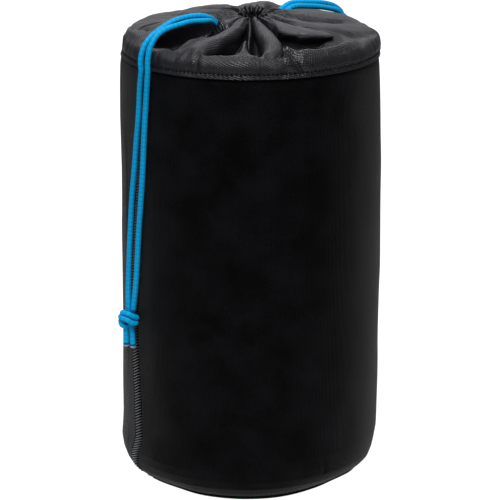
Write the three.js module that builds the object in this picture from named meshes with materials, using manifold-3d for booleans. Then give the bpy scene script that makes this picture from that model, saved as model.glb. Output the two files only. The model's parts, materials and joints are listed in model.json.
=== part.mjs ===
// Soft lens pouch: a round padded tube of laminated neoprene with a sewn-in base,
// closed at the top by a woven collar that two drawcords gather into pleats.
// Millimetres, +Z up. The origin is the centre of the base's underside, +X is the
// right-hand side and -Y the front. Azimuths are in degrees from the front, towards +X.
import * as THREE from "three";
import { mergeVertices } from "three/addons/utils/BufferGeometryUtils.js";
import Module from "manifold-3d";

// ---- driving dimensions -------------------------------------------------
const WALL_RADIUS = 61; // outside of the padded wall
const WALL_BOTTOM = 4.4; // wall's lower edge, on the base panel
const WALL_TOP = 212.4; // wall's upper edge, under the collar band
const FACING = 0.5; // knit facing of the laminate
const FOAM = 3.2; // foam core
const LINING = 0.5; // knit lining
const LAYER_GAP = 0.3; // between the layers of the laminate
const ROUND_HEIGHT = 10; // height over which the wall draws in to the base
const ROUND_DEPTH = 4.8; // how far it draws in
const BASE_RADIUS = 51.6; // sewn-in base panel, at the surface it stands on
const BASE_TOP_RADIUS = 55.4; // and where the wall meets it
const SEAM_AZIMUTH = -64; // butted side seam of the wall
const SEAM_SLIT = 0.4;

const BAND_BOTTOM = 205; // lower edge of the woven collar, lapped over the wall
const BAND_TOP = 213.6; // where the collar folds inwards
const BAND_RADIUS = 61.7;
const BAND_THICKNESS = 0.55;
const LIP_RADIUS = 58.9; // inner edge of the band's fold

const HINGE_RADIUS = 57.9; // corners of the pleats on the fold ring
const HINGE_HEIGHT = 213.3;
const CLOTH = 1.0; // pleat: cloth with its seam allowance
const PLEAT_GAP = 0.35; // from a pleat's edge to the valley between two pleats
const TIP_RADIUS = 9; // gathered mouth
const OPEN_ANGLE = 85; // from closed, lying inwards, to open, standing up
// valleys between the pleats, and the crest of each pleat
const VALLEYS = [-82, -52, -16, 7, 21, 62, 92, 120, 156, 192, 226, 252, 278];
const CRESTS = [-67, -38, -4, 14, 42, 78, 106, 134, 174, 209, 239, 265];
// a crest's height above the hinge line, by distance from the axis
const CREST_PROFILE = [
  [45, 5.2],
  [26, 8.4],
  [9.5, 9.8],
];
const TUCK = 0.8; // cloth tucked under between two pleats
const TUCK_START = 6; // from the fold ring, along the valley
const TUCK_SHORT = 1.2; // degrees left free at the tuck's outer edge

const CORD = 2.6; // drawcord diameter
const CORD_SIDES = 8;
const KNOT_RADIUS = 4.5;
const KNOT_HALF = 4.7;
const THREAD = 0.22; // sewing thread radius, doubled up as one stitch line

// drawcord routes: over the collar from the buttonhole, and down the wall to the knot
const FRONT_OVER_A = [[-17.6, -19.6, 225.3], [-20.9, -23.0, 226.9], [-24.9, -27.0, 227.8], [-28.7, -30.0, 227.7], [-32.2, -32.2, 226.9], [-35.7, -34.3, 225.3], [-39.2, -35.9, 223.0], [-43.3, -37.9, 219.4], [-46.7, -39.2, 216.9], [-49.1, -40.4, 213.6], [-49.6, -40.4, 209.2], [-49.3, -40.6, 205.2]];
const FRONT_OVER_B = [[-15.2, -21.4, 223.9], [-19.4, -25.5, 225.0], [-24.2, -29.8, 225.3], [-28.2, -32.9, 225.0], [-31.8, -35.4, 224.1], [-35.2, -37.7, 222.4], [-39.0, -40.1, 219.7], [-42.4, -42.2, 217.5], [-45.2, -43.8, 214.6], [-46.4, -44.3, 210.0], [-46.3, -43.9, 205.2]];
const FRONT_HANG_A = [[-49.4, -40.5, 204.8], [-50.1, -39.2, 198.2], [-50.5, -38.2, 192.5], [-51.3, -37.0, 181.0], [-52.4, -35.6, 169.3], [-53.4, -34.6, 157.6], [-54.7, -33.1, 145.5], [-55.7, -32.1, 133.4], [-56.7, -31.2, 121.3], [-57.9, -30.5, 108.9], [-58.8, -30.4, 96.8], [-59.5, -30.6, 87.6]];
const FRONT_HANG_B = [[-46.4, -43.8, 204.8], [-46.8, -43.0, 199.1], [-47.2, -42.1, 193.4], [-48.0, -41.2, 182.1], [-48.7, -40.5, 170.6], [-49.3, -39.9, 159.2], [-50.2, -39.0, 147.4], [-51.3, -37.9, 135.4], [-52.6, -36.7, 123.0], [-54.0, -35.7, 110.8], [-55.6, -34.6, 98.5], [-57.2, -33.5, 87.6]];
const FRONT_KNOT = [-58.6, -31.2, 82];
const FRONT_END_A = [[-60.3, -28.7, 76.6], [-61.0, -26.3, 71.0], [-61.2, -24.8, 65.0]];
const FRONT_END_B = [[-57.0, -33.6, 76.6], [-56.2, -34.9, 72.5], [-56.1, -34.9, 67.6]];
const FRONT_BUTTONHOLE = [-14.2, -17.8, 223.4];

// the rear cord in cylindrical form: azimuth, radius, height
const REAR_OVER_A = [[139.0, 21.0, 224.4], [137.0, 27.0, 224.9], [135.6, 34.0, 224.6], [135.0, 41.0, 223.7], [134.5, 47.5, 222.4], [134.2, 53.2, 220.9], [134.0, 57.2, 219.2], [134.0, 60.9, 217.0], [134.0, 63.4, 213.5], [134.1, 63.9, 209.4], [134.2, 63.8, 205.2]];
const REAR_OVER_B = [[129.0, 21.6, 223.2], [129.6, 27.0, 223.8], [130.0, 34.0, 223.4], [130.2, 41.0, 222.4], [130.3, 47.5, 221.0], [130.3, 53.2, 219.4], [130.3, 57.4, 217.8], [130.2, 61.0, 216.3], [130.2, 63.6, 212.8], [130.2, 63.9, 209.0], [130.3, 63.8, 205.2]];
const REAR_HANG_A = [[134.3, 63.8, 204.8], [135.4, 63.5, 195], [136.9, 63.3, 180], [138.4, 63.4, 165], [140.4, 63.8, 145], [142.3, 64.4, 125], [143.9, 65.3, 105], [144.6, 66.3, 87.6]];
const REAR_HANG_B = [[130.3, 63.8, 204.8], [131.1, 63.5, 195], [132.3, 63.3, 180], [133.6, 63.4, 165], [135.6, 63.7, 145], [137.9, 64.2, 125], [140.1, 65.0, 105], [141.6, 66.1, 87.6]];
const REAR_KNOT = [143.1, 66.5, 82];
const REAR_END_A = [[145.6, 66.4, 76.6], [147.6, 66.2, 71], [148.4, 66.0, 65.6]];
const REAR_END_B = [[141.0, 66.4, 76.6], [139.6, 66.3, 72], [139.2, 66.0, 66.4]];
const REAR_BUTTONHOLE = [134.0, 18.0, 223.6];

// ---- helpers --------------------------------------------------------------
const wasm = await Module();
wasm.setup();
const rad = (deg) => (deg * Math.PI) / 180;
const UP = new THREE.Vector3(0, 0, 1);
const outward = (deg) => new THREE.Vector3(Math.sin(rad(deg)), -Math.cos(rad(deg)), 0);
const around = (deg) => new THREE.Vector3(Math.cos(rad(deg)), Math.sin(rad(deg)), 0);
const polar = (deg, r, z) => outward(deg).multiplyScalar(r).setZ(z);
const vec = (p) => new THREE.Vector3(p[0], p[1], p[2]);
const fromPolar = (list) => list.map(([a, r, z]) => polar(a, r, z));

// A geometry with only merged positions, its faces turned outwards.
function closed(geometry) {
  const g = geometry.index ? geometry.toNonIndexed() : geometry.clone();
  const plain = new THREE.BufferGeometry().setAttribute("position", g.getAttribute("position"));
  const merged = mergeVertices(plain, 1e-3);
  const p = merged.getAttribute("position").array;
  const t = merged.index.array;
  let volume = 0;
  for (let i = 0; i < t.length; i += 3) {
    const [a, b, c] = [t[i] * 3, t[i + 1] * 3, t[i + 2] * 3];
    volume +=
      p[a] * (p[b + 1] * p[c + 2] - p[b + 2] * p[c + 1]) -
      p[a + 1] * (p[b] * p[c + 2] - p[b + 2] * p[c]) +
      p[a + 2] * (p[b] * p[c + 1] - p[b + 1] * p[c]);
  }
  if (volume < 0)
    for (let i = 0; i < t.length; i += 3) [t[i + 1], t[i + 2]] = [t[i + 2], t[i + 1]];
  return merged;
}
function solidOf(geometry) {
  const g = closed(geometry);
  return new wasm.Manifold(
    new wasm.Mesh({
      numProp: 3,
      vertProperties: new Float32Array(g.getAttribute("position").array),
      triVerts: new Uint32Array(g.index.array),
    }),
  );
}
function geometryOf(solid) {
  const m = solid.getMesh();
  return new THREE.BufferGeometry()
    .setAttribute("position", new THREE.BufferAttribute(new Float32Array(m.vertProperties), 3))
    .setIndex(new THREE.BufferAttribute(new Uint32Array(m.triVerts), 1));
}

// A ring turned from a closed profile of [radius, height] points.
function turned(profile, segments = 48) {
  const points = [...profile, profile[0]].map(([r, z]) => new THREE.Vector2(r, z));
  return new THREE.LatheGeometry(points, segments).rotateX(Math.PI / 2);
}
// A disc turned from a profile that starts and ends on the axis.
function disc(radius, low, high, edge = 0.2, topRadius = radius, segments = 48) {
  const points = [
    [0, low],
    [radius - edge, low],
    [radius, low + edge],
    [topRadius, high - edge],
    [topRadius - edge, high],
    [0, high],
  ].map(([r, z]) => new THREE.Vector2(r, z));
  return new THREE.LatheGeometry(points, segments).rotateX(Math.PI / 2);
}
// A round section of the given number of sides, swept along a smooth curve.
function swept(points, diameter, steps, sides = CORD_SIDES) {
  const section = new THREE.Shape(
    Array.from({ length: sides }, (_, i) =>
      new THREE.Vector2(Math.cos((i * 2 * Math.PI) / sides), Math.sin((i * 2 * Math.PI) / sides)).multiplyScalar(diameter / 2),
    ),
  );
  return new THREE.ExtrudeGeometry(section, {
    steps,
    bevelEnabled: false,
    extrudePath: new THREE.CatmullRomCurve3(points, false, "centripetal"),
  });
}

const group = new THREE.Group();
function add(name, geometry, color, roughness, parent = group) {
  const mesh = new THREE.Mesh(closed(geometry), new THREE.MeshStandardMaterial({ color, roughness, metalness: 0 }));
  mesh.name = name;
  parent.add(mesh);
  return mesh;
}
const BLACK_KNIT = 0x161618;
const FOAM_BLACK = 0x202022;
const LINING_GREY = 0x2a2a2d;
const WOVEN = 0x2c2c30;
const THREAD_BLACK = 0x101012;
const CYAN = 0x1597d4;

// ---- padded wall: facing, foam and lining, butted at one side seam --------
const slit = () => {
  const box = new THREE.BoxGeometry(20, SEAM_SLIT, 300);
  box.translate(WALL_RADIUS - 2, 0, 100);
  box.rotateZ(Math.atan2(outward(SEAM_AZIMUTH).y, outward(SEAM_AZIMUTH).x));
  return solidOf(box);
};
const wallRadius = (z, inset) => {
  const t = Math.max(0, (WALL_BOTTOM + ROUND_HEIGHT - z) / ROUND_HEIGHT);
  return WALL_RADIUS - inset - ROUND_DEPTH * t * t;
};
function wallLayer(from, to) {
  const levels = [WALL_BOTTOM, WALL_BOTTOM + 2.5, WALL_BOTTOM + 5.5, WALL_BOTTOM + ROUND_HEIGHT, WALL_TOP];
  const profile = [...levels.map((z) => [wallRadius(z, from), z]), ...levels.toReversed().map((z) => [wallRadius(z, to), z])];
  return geometryOf(solidOf(turned(profile)).subtract(slit()));
}
const foamFrom = FACING + LAYER_GAP;
const liningFrom = foamFrom + FOAM + LAYER_GAP;
add("wall_facing", wallLayer(0, FACING), BLACK_KNIT, 0.9);
add("wall_foam", wallLayer(foamFrom, foamFrom + FOAM), FOAM_BLACK, 0.95);
add("wall_lining", wallLayer(liningFrom, liningFrom + LINING), LINING_GREY, 0.9);

// ---- base panel -------------------------------------------------------------
add("base_facing", disc(BASE_RADIUS, 0, 0.6), BLACK_KNIT, 0.9);
add("base_foam", disc(BASE_RADIUS + 0.4, 0.9, 4.0, 0.4, BASE_TOP_RADIUS), FOAM_BLACK, 0.95);
add("base_lining", disc(WALL_RADIUS - ROUND_DEPTH - liningFrom - LINING - 0.4, 4.3, 4.8), LINING_GREY, 0.9);

// ---- stitch lines -------------------------------------------------------------
{
  // flat seam: one thread running to and fro across the butted edges
  const pitch = 9, reach = 1.9, low = 11, high = 203;
  const turns = Math.floor((high - low) / pitch);
  const path = [];
  for (let i = 0; i <= turns * 4; i++) {
    const z = low + (i * pitch) / 4;
    const side = [0, 1, 0, -1][i % 4] * reach;
    path.push(polar(SEAM_AZIMUTH + (side / WALL_RADIUS) * (180 / Math.PI), wallRadius(z, 0) + 0.55, z));
  }
  add("side_seam_thread", swept(path, 2 * THREAD, turns * 6, 4), THREAD_BLACK, 0.7);
}
add("base_seam_thread", new THREE.TorusGeometry(wallRadius(WALL_BOTTOM + 4, 0) + 0.4, THREAD, 4, 64).translate(0, 0, WALL_BOTTOM + 4), THREAD_BLACK, 0.7);
add("collar_seam_thread", new THREE.TorusGeometry(BAND_RADIUS + 0.45, THREAD, 4, 64).translate(0, 0, BAND_BOTTOM + 2.4), THREAD_BLACK, 0.7);

// ---- collar band: lapped over the wall, folded inwards over its edge -----------
add(
  "collar_band",
  turned([
    [BAND_RADIUS - BAND_THICKNESS * 0.72, BAND_BOTTOM],
    [BAND_RADIUS, BAND_BOTTOM],
    [BAND_RADIUS, BAND_TOP - 0.6],
    [BAND_RADIUS - 0.6, BAND_TOP],
    [LIP_RADIUS, BAND_TOP],
    [LIP_RADIUS, BAND_TOP - BAND_THICKNESS],
    [BAND_RADIUS - BAND_THICKNESS * 0.72, BAND_TOP - BAND_THICKNESS],
  ]),
  WOVEN,
  0.75,
);

// ---- pleats: roof-shaped pieces of the collar, hinged on the fold ring ----------
// Each pleat lies between two valleys. Its outer edge is the hinge chord.
const pad2 = (i) => String(i + 1).padStart(2, "0");
const pleatTop = HINGE_HEIGHT + CLOTH / 2;
function pleat(i) {
  const [a, b] = [VALLEYS[i], VALLEYS[i + 1]];
  const inset = (deg, r, sign) => polar(deg, r, pleatTop).addScaledVector(around(deg), sign * PLEAT_GAP);
  const [ba, bb] = [inset(a, HINGE_RADIUS, 1), inset(b, HINGE_RADIUS, -1)];
  const [ta, tb] = [inset(a, TIP_RADIUS, 1), inset(b, TIP_RADIUS, -1)];
  // where the crest meets the hinge chord
  const mid = (a + b) / 2;
  const apothem = HINGE_RADIUS * Math.cos(rad((b - a) / 2));
  const foot = polar(CRESTS[i], apothem / Math.cos(rad(CRESTS[i] - mid)), pleatTop);
  const crest = CREST_PROFILE.map(([r, h]) => polar(CRESTS[i], r, pleatTop + h));
  const top = [ba, foot, bb, tb, crest[2], ta, crest[0], crest[1]];
  // indices: 0 ba, 1 foot, 2 bb, 3 tb, 4 crest tip, 5 ta, 6 outer crest, 7 middle crest
  const faces = [
    [0, 1, 6], [0, 6, 7], [0, 7, 5], [5, 7, 4],
    [1, 2, 6], [6, 2, 7], [7, 2, 3], [7, 3, 4],
  ];
  const rim = [0, 1, 2, 3, 4, 5];
  const low = top.map((p) => p.clone().setZ(p.z - CLOTH));
  const out = [];
  const tri = (p, q, r) => out.push(p, q, r);
  for (const [p, q, r] of faces) {
    tri(top[p], top[q], top[r]);
    tri(low[p], low[r], low[q]);
  }
  rim.forEach((p, k) => {
    const q = rim[(k + 1) % rim.length];
    tri(top[q], top[p], low[p]);
    tri(top[q], low[p], low[q]);
  });
  return new THREE.BufferGeometry().setFromPoints(out);
}

// ---- tucks: cloth folded under in each valley, hinged to the pleat's first edge --
const openEdge = (corner, first) => {
  const mid = (VALLEYS[first] + VALLEYS[first + 1]) / 2;
  const shifted = corner - (first === VALLEYS.length - 2 && corner === VALLEYS[0] ? -360 : 0);
  return outward(shifted).negate().applyAxisAngle(around(mid), rad(OPEN_ANGLE));
};
function tuck(i) {
  const corner = VALLEYS[i];
  const before = (i + VALLEYS.length - 2) % (VALLEYS.length - 1);
  const spread = openEdge(corner, i).angleTo(openEdge(corner, before)) - rad(TUCK_SHORT);
  const length = HINGE_RADIUS - TIP_RADIUS - 0.6;
  const shape = new THREE.Shape([
    new THREE.Vector2(TUCK_START, 0),
    new THREE.Vector2(length, 0),
    new THREE.Vector2(length * Math.cos(spread), -length * Math.sin(spread)),
    new THREE.Vector2(TUCK_START * Math.cos(spread), -TUCK_START * Math.sin(spread)),
  ]);
  const plate = new THREE.ExtrudeGeometry(shape, { depth: TUCK, bevelEnabled: false });
  plate.translate(0, 0, -TUCK / 2);
  const inward = outward(corner).negate();
  const side = around(corner);
  plate.applyMatrix4(new THREE.Matrix4().makeBasis(inward, UP, inward.clone().cross(UP)));
  const at = polar(corner, HINGE_RADIUS, HINGE_HEIGHT - CLOTH / 2 - 0.5).addScaledVector(side, PLEAT_GAP + 0.2 + TUCK / 2);
  return plate.translate(at.x, at.y, at.z);
}
const collar = new THREE.Group();
group.add(collar);
for (let i = 0; i < CRESTS.length; i++) {
  add("collar_pleat_" + pad2(i), pleat(i), WOVEN, 0.75, collar);
  add("collar_tuck_" + pad2(i), tuck(i), WOVEN, 0.75, collar);
}

// ---- drawcords: a loop in the hem, two strands over the collar, two hanging, a knot --
function knot(at) {
  const profile = [];
  for (let i = 0; i <= 8; i++) {
    const t = -Math.PI / 2 + (i * Math.PI) / 8;
    profile.push(new THREE.Vector2(i % 8 === 0 ? 0 : KNOT_RADIUS * Math.cos(t), KNOT_HALF * Math.sin(t)));
  }
  return new THREE.LatheGeometry(profile, 14).rotateX(Math.PI / 2).translate(at.x, at.y, at.z);
}
function buttonhole(at, azimuth) {
  const ring = new THREE.TorusGeometry(1.9, 0.35, 6, 20).scale(0.8, 1.35, 1);
  return ring.rotateZ(rad(azimuth)).translate(at.x, at.y, at.z);
}
const TIE_HEIGHT = { front: 218.8, rear: 222.0 };
function drawcord(side, route) {
  const cord = new THREE.Group();
  group.add(cord);
  const tube = (name, points, steps) => add(`${side}_${name}`, swept(points, CORD, steps), CYAN, 0.5, cord);
  add(`${side}_cord_loop`, new THREE.TorusGeometry(6, CORD / 2, 6, 28).translate(0, 0, TIE_HEIGHT[side]), CYAN, 0.5, cord);
  add(`${side}_buttonhole`, buttonhole(route.buttonhole, route.azimuth), THREAD_BLACK, 0.7, cord);
  tube("cord_over_a", route.overA, 13);
  tube("cord_over_b", route.overB, 13);
  tube("cord_hang_a", route.hangA, 16);
  tube("cord_hang_b", route.hangB, 16);
  add(`${side}_knot`, knot(route.knot), CYAN, 0.5, cord);
  tube("cord_end_a", route.endA, 4);
  tube("cord_end_b", route.endB, 4);
}
drawcord("front", {
  buttonhole: vec(FRONT_BUTTONHOLE), azimuth: -39, knot: vec(FRONT_KNOT),
  overA: FRONT_OVER_A.map(vec), overB: FRONT_OVER_B.map(vec),
  hangA: FRONT_HANG_A.map(vec), hangB: FRONT_HANG_B.map(vec),
  endA: FRONT_END_A.map(vec), endB: FRONT_END_B.map(vec),
});
drawcord("rear", {
  buttonhole: polar(...REAR_BUTTONHOLE), azimuth: 134, knot: polar(...REAR_KNOT),
  overA: fromPolar(REAR_OVER_A), overB: fromPolar(REAR_OVER_B),
  hangA: fromPolar(REAR_HANG_A), hangB: fromPolar(REAR_HANG_B),
  endA: fromPolar(REAR_END_A), endB: fromPolar(REAR_END_B),
});

export default group;
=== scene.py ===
"""Looks of the lens pouch: padded tube, sewn base, gathered collar and two drawcords. Lengths in the shape code are in
millimetres in the row frame, azimuths in degrees from the front (-Y) towards +X."""

import json
import math
import bpy
import numpy as np
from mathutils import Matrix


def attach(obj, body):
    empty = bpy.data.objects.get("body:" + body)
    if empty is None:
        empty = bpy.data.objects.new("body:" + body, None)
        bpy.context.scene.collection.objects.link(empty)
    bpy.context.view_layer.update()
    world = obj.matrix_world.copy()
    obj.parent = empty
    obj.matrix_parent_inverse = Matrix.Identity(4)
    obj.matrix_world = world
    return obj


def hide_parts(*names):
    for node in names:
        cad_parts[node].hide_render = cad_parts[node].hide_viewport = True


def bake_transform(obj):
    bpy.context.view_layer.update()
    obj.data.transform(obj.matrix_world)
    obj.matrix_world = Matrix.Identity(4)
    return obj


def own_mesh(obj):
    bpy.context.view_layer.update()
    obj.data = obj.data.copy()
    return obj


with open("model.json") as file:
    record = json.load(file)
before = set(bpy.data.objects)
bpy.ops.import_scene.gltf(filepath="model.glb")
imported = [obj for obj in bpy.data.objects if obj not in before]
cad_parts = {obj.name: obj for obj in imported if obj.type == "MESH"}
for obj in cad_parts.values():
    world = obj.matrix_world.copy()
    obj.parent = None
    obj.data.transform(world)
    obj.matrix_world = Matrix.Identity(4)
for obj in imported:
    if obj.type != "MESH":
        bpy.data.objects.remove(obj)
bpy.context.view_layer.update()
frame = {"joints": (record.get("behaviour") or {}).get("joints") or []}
MM = 0.001
FINE = 1.0  # share of the full mesh density


# ---------------------------------------------------------------- small tools
def polar(b, r, z):
    b = np.radians(np.asarray(b, float))
    x, y, z = np.broadcast_arrays(r * np.sin(b), -r * np.cos(b), z)
    return np.stack([x, y, z], -1)


def unit(v):
    return v / np.maximum(np.linalg.norm(v, axis=-1, keepdims=True), 1e-12)


def smooth(x, a, b):
    t = np.clip((x - a) / (b - a), 0, 1)
    return t * t * (3 - 2 * t)


def bump(x, at, width):
    return np.exp(-(((x - at) / width) ** 2))


class Noise:
    """Smooth value noise on a lattice that repeats every `n` cells."""

    def __init__(self, seed, n=64):
        self.g = np.random.RandomState(seed).uniform(-1, 1, (n, n))
        self.n = n

    def __call__(self, x, y):
        x, y = np.broadcast_arrays(np.asarray(x, float), np.asarray(y, float))
        xi, yi = np.floor(x).astype(int), np.floor(y).astype(int)
        fx, fy = x - xi, y - yi
        fx, fy = (f * f * f * (f * (f * 6 - 15) + 10) for f in (fx, fy))
        g, n = self.g, self.n
        a = g[xi % n, yi % n] * (1 - fx) + g[(xi + 1) % n, yi % n] * fx
        b = g[xi % n, (yi + 1) % n] * (1 - fx) + g[(xi + 1) % n, (yi + 1) % n] * fx
        return a * (1 - fy) + b * fy


def spline(tk, yk, t, period=None):
    """Cubic spline through the values yk at tk, natural or periodic, sampled at t."""
    tk, t = np.asarray(tk, float), np.asarray(t, float)
    yk = np.asarray(yk, float)
    shape = yk.shape[1:]
    y = yk.reshape(len(yk), -1)
    if period is not None:
        tk = np.concatenate([tk, [tk[0] + period]])
        y = np.concatenate([y, y[:1]])
        t = (t - tk[0]) % period + tk[0]
    n = len(tk)
    h = np.diff(tk)
    d = np.diff(y, axis=0) / h[:, None]
    a = np.zeros((n, n))
    r = np.zeros_like(y)
    for i in range(1, n - 1):
        a[i, i - 1], a[i, i], a[i, i + 1] = h[i - 1], 2 * (h[i - 1] + h[i]), h[i]
        r[i] = 6 * (d[i] - d[i - 1])
    if period is None:
        a[0, 0] = a[-1, -1] = 1
    else:
        a[0, 0], a[0, 1], a[0, -2] = 2 * (h[0] + h[-1]), h[0], h[-1]
        r[0] = 6 * (d[0] - d[-1])
        a[-1, 0], a[-1, -1] = 1, -1
    m = np.linalg.solve(a, r)
    i = np.clip(np.searchsorted(tk, t, side="right") - 1, 0, n - 2)
    u, v, hh = (tk[i + 1] - t)[:, None], (t - tk[i])[:, None], h[i][:, None]
    out = (m[i] * u**3 + m[i + 1] * v**3) / (6 * hh) + (y[i] / hh - m[i] * hh / 6) * u + (y[i + 1] / hh - m[i + 1] * hh / 6) * v
    return out.reshape((len(t),) + shape)


def resample(points, step, tension=None):
    """Points on a smooth curve through the given ones, about `step` apart."""
    p = np.asarray(points, float)
    s = np.concatenate([[0], np.cumsum(np.linalg.norm(np.diff(p, axis=0), axis=1))])
    fine = spline(s, p, np.linspace(0, s[-1], 40 * len(p)))
    s = np.concatenate([[0], np.cumsum(np.linalg.norm(np.diff(fine, axis=0), axis=1))])
    n = max(4, int(round(s[-1] / step)) + 1)
    q = np.linspace(0, s[-1], n)
    return np.stack([np.interp(q, s, fine[:, k]) for k in range(3)], -1), q


# ---------------------------------------------------------------- meshes
def build(name, v, quads, material, tris=None, uv=None, normals=None, attribute=None):
    """A smooth mesh object from millimetre points. uv is per face corner of the quads."""
    me = bpy.data.meshes.new(name)
    quads = np.asarray(quads, int).reshape(-1, 4)
    tris = np.zeros((0, 3), int) if tris is None else np.asarray(tris, int).reshape(-1, 3)
    loops = np.concatenate([quads.ravel(), tris.ravel()]).astype(np.int32)
    starts = np.concatenate([np.arange(len(quads)) * 4, len(quads) * 4 + np.arange(len(tris)) * 3]).astype(np.int32)
    me.vertices.add(len(v))
    me.vertices.foreach_set("co", (np.asarray(v, float) * MM).astype(np.float32).ravel())
    me.loops.add(len(loops))
    me.loops.foreach_set("vertex_index", loops)
    me.polygons.add(len(starts))
    me.polygons.foreach_set("loop_start", starts)
    if uv is not None:
        layer = me.uv_layers.new(name="UVMap")
        full = np.zeros((len(loops), 2), np.float32)
        full[: len(quads) * 4] = np.asarray(uv, float).reshape(-1, 2)
        layer.data.foreach_set("uv", full.ravel())
    if attribute is not None:
        for key, values in attribute.items():
            me.attributes.new(key, "FLOAT", "POINT").data.foreach_set("value", np.asarray(values, np.float32).ravel())
    me.update(calc_edges=True)
    me.polygons.foreach_set("use_smooth", np.ones(len(starts), bool))
    if normals is not None:
        me.normals_split_custom_set_from_vertices(unit(np.asarray(normals, float)).tolist())
    me.materials.append(material)
    ob = bpy.data.objects.new(name, me)
    bpy.context.scene.collection.objects.link(ob)
    return ob


def grid_faces(nu, nv, wrap=False):
    """Quads of a grid whose point [i, j] has the number i * nv + j, and each corner's i and j before wrapping."""
    i, j = np.meshgrid(np.arange(nu if wrap else nu - 1), np.arange(nv - 1), indexing="ij")
    i2 = (i + 1) % nu
    q = np.stack([i * nv + j, i2 * nv + j, i2 * nv + j + 1, i * nv + j + 1], -1).reshape(-1, 4)
    ci = np.stack([i, i + 1, i + 1, i], -1).reshape(-1, 4)
    cj = np.stack([j, j, j + 1, j + 1], -1).reshape(-1, 4)
    return q, ci, cj


def grid_normals(p, wrap=False):
    if wrap:
        du = np.roll(p, -1, 0) - np.roll(p, 1, 0)
    else:
        du = np.gradient(p, axis=0)
    dv = np.gradient(p, axis=1)
    return unit(np.cross(du, dv))


def shell(name, outer, inner, material, wrap=False, cu=None, cv=None, normals=None, attribute=None):
    """A closed shell between two grids of points [nu, nv], the first facing out. cu and cv place the texture, in mm,
    by column and by row or point by point."""
    nu, nv = outer.shape[:2]
    q, ci, cj = grid_faces(nu, nv, wrap)
    n = nu * nv
    quads = [q, q[:, ::-1] + n]
    cis, cjs = [ci, ci[:, ::-1]], [cj, cj[:, ::-1]]

    def strip(a, ia, ja, closed):
        a, ia, ja = (np.asarray(x) for x in (a, ia, ja))
        if closed:
            b, ib, jb = np.roll(a, -1), ia + (ia[1] - ia[0]), ja
        else:
            a, b, ia, ib, ja, jb = a[:-1], a[1:], ia[:-1], ia[1:], ja[:-1], ja[1:]
        quads.append(np.stack([a, a + n, b + n, b], -1))
        cis.append(np.stack([ia, ia, ib, ib], -1))
        cjs.append(np.stack([ja, ja, jb, jb], -1))

    i, j = np.arange(nu), np.arange(nv)
    strip(i * nv, i, 0 * i, wrap)
    strip((i * nv + nv - 1)[:: 1 if wrap else -1], i[:: 1 if wrap else -1], 0 * i + nv - 1, wrap)
    if wrap:
        quads[-1] = quads[-1][:, ::-1]
        cis[-1], cjs[-1] = cis[-1][:, ::-1], cjs[-1][:, ::-1]
    else:
        strip((j)[::-1], 0 * j, j[::-1], False)
        strip((nu - 1) * nv + j, 0 * j + nu - 1, j, False)
    quads = np.concatenate(quads)
    cis, cjs = np.concatenate(cis), np.concatenate(cjs)
    uv = None
    if cu is not None:
        cu, cv = np.asarray(cu, float), np.asarray(cv, float)
        if wrap:
            cu = np.append(cu, 2 * cu[-1] - cu[-2])
        uv = np.stack([cu[cis] if cu.ndim == 1 else cu[cis, cjs], cv[cjs] if cv.ndim == 1 else cv[cis, cjs]], -1)
    v = np.concatenate([outer.reshape(-1, 3), inner.reshape(-1, 3)])
    nn = None
    if normals is not None:
        nn = np.concatenate([normals.reshape(-1, 3), -normals.reshape(-1, 3)])
    att = None
    if attribute is not None:
        att = {k: np.concatenate([np.ravel(a), np.ravel(a)]) for k, a in attribute.items()}
    return build(name, v, quads, material, uv=uv, normals=nn, attribute=att)


def frames(p, closed=False, up=(0, 0, 1)):
    """Tangents and two cross directions that turn as little as possible along a line of points."""
    t = unit(np.gradient(p, axis=0))
    a = np.zeros_like(p)
    first = np.asarray(up, float)
    if abs(first @ t[0]) > 0.9:
        first = np.array([1.0, 0, 0])
    a[0] = unit(first - (first @ t[0]) * t[0])
    for i in range(1, len(p)):
        v = a[i - 1] - (a[i - 1] @ t[i]) * t[i]
        a[i] = v / np.linalg.norm(v)
    return t, a, np.cross(t, a)


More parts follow.
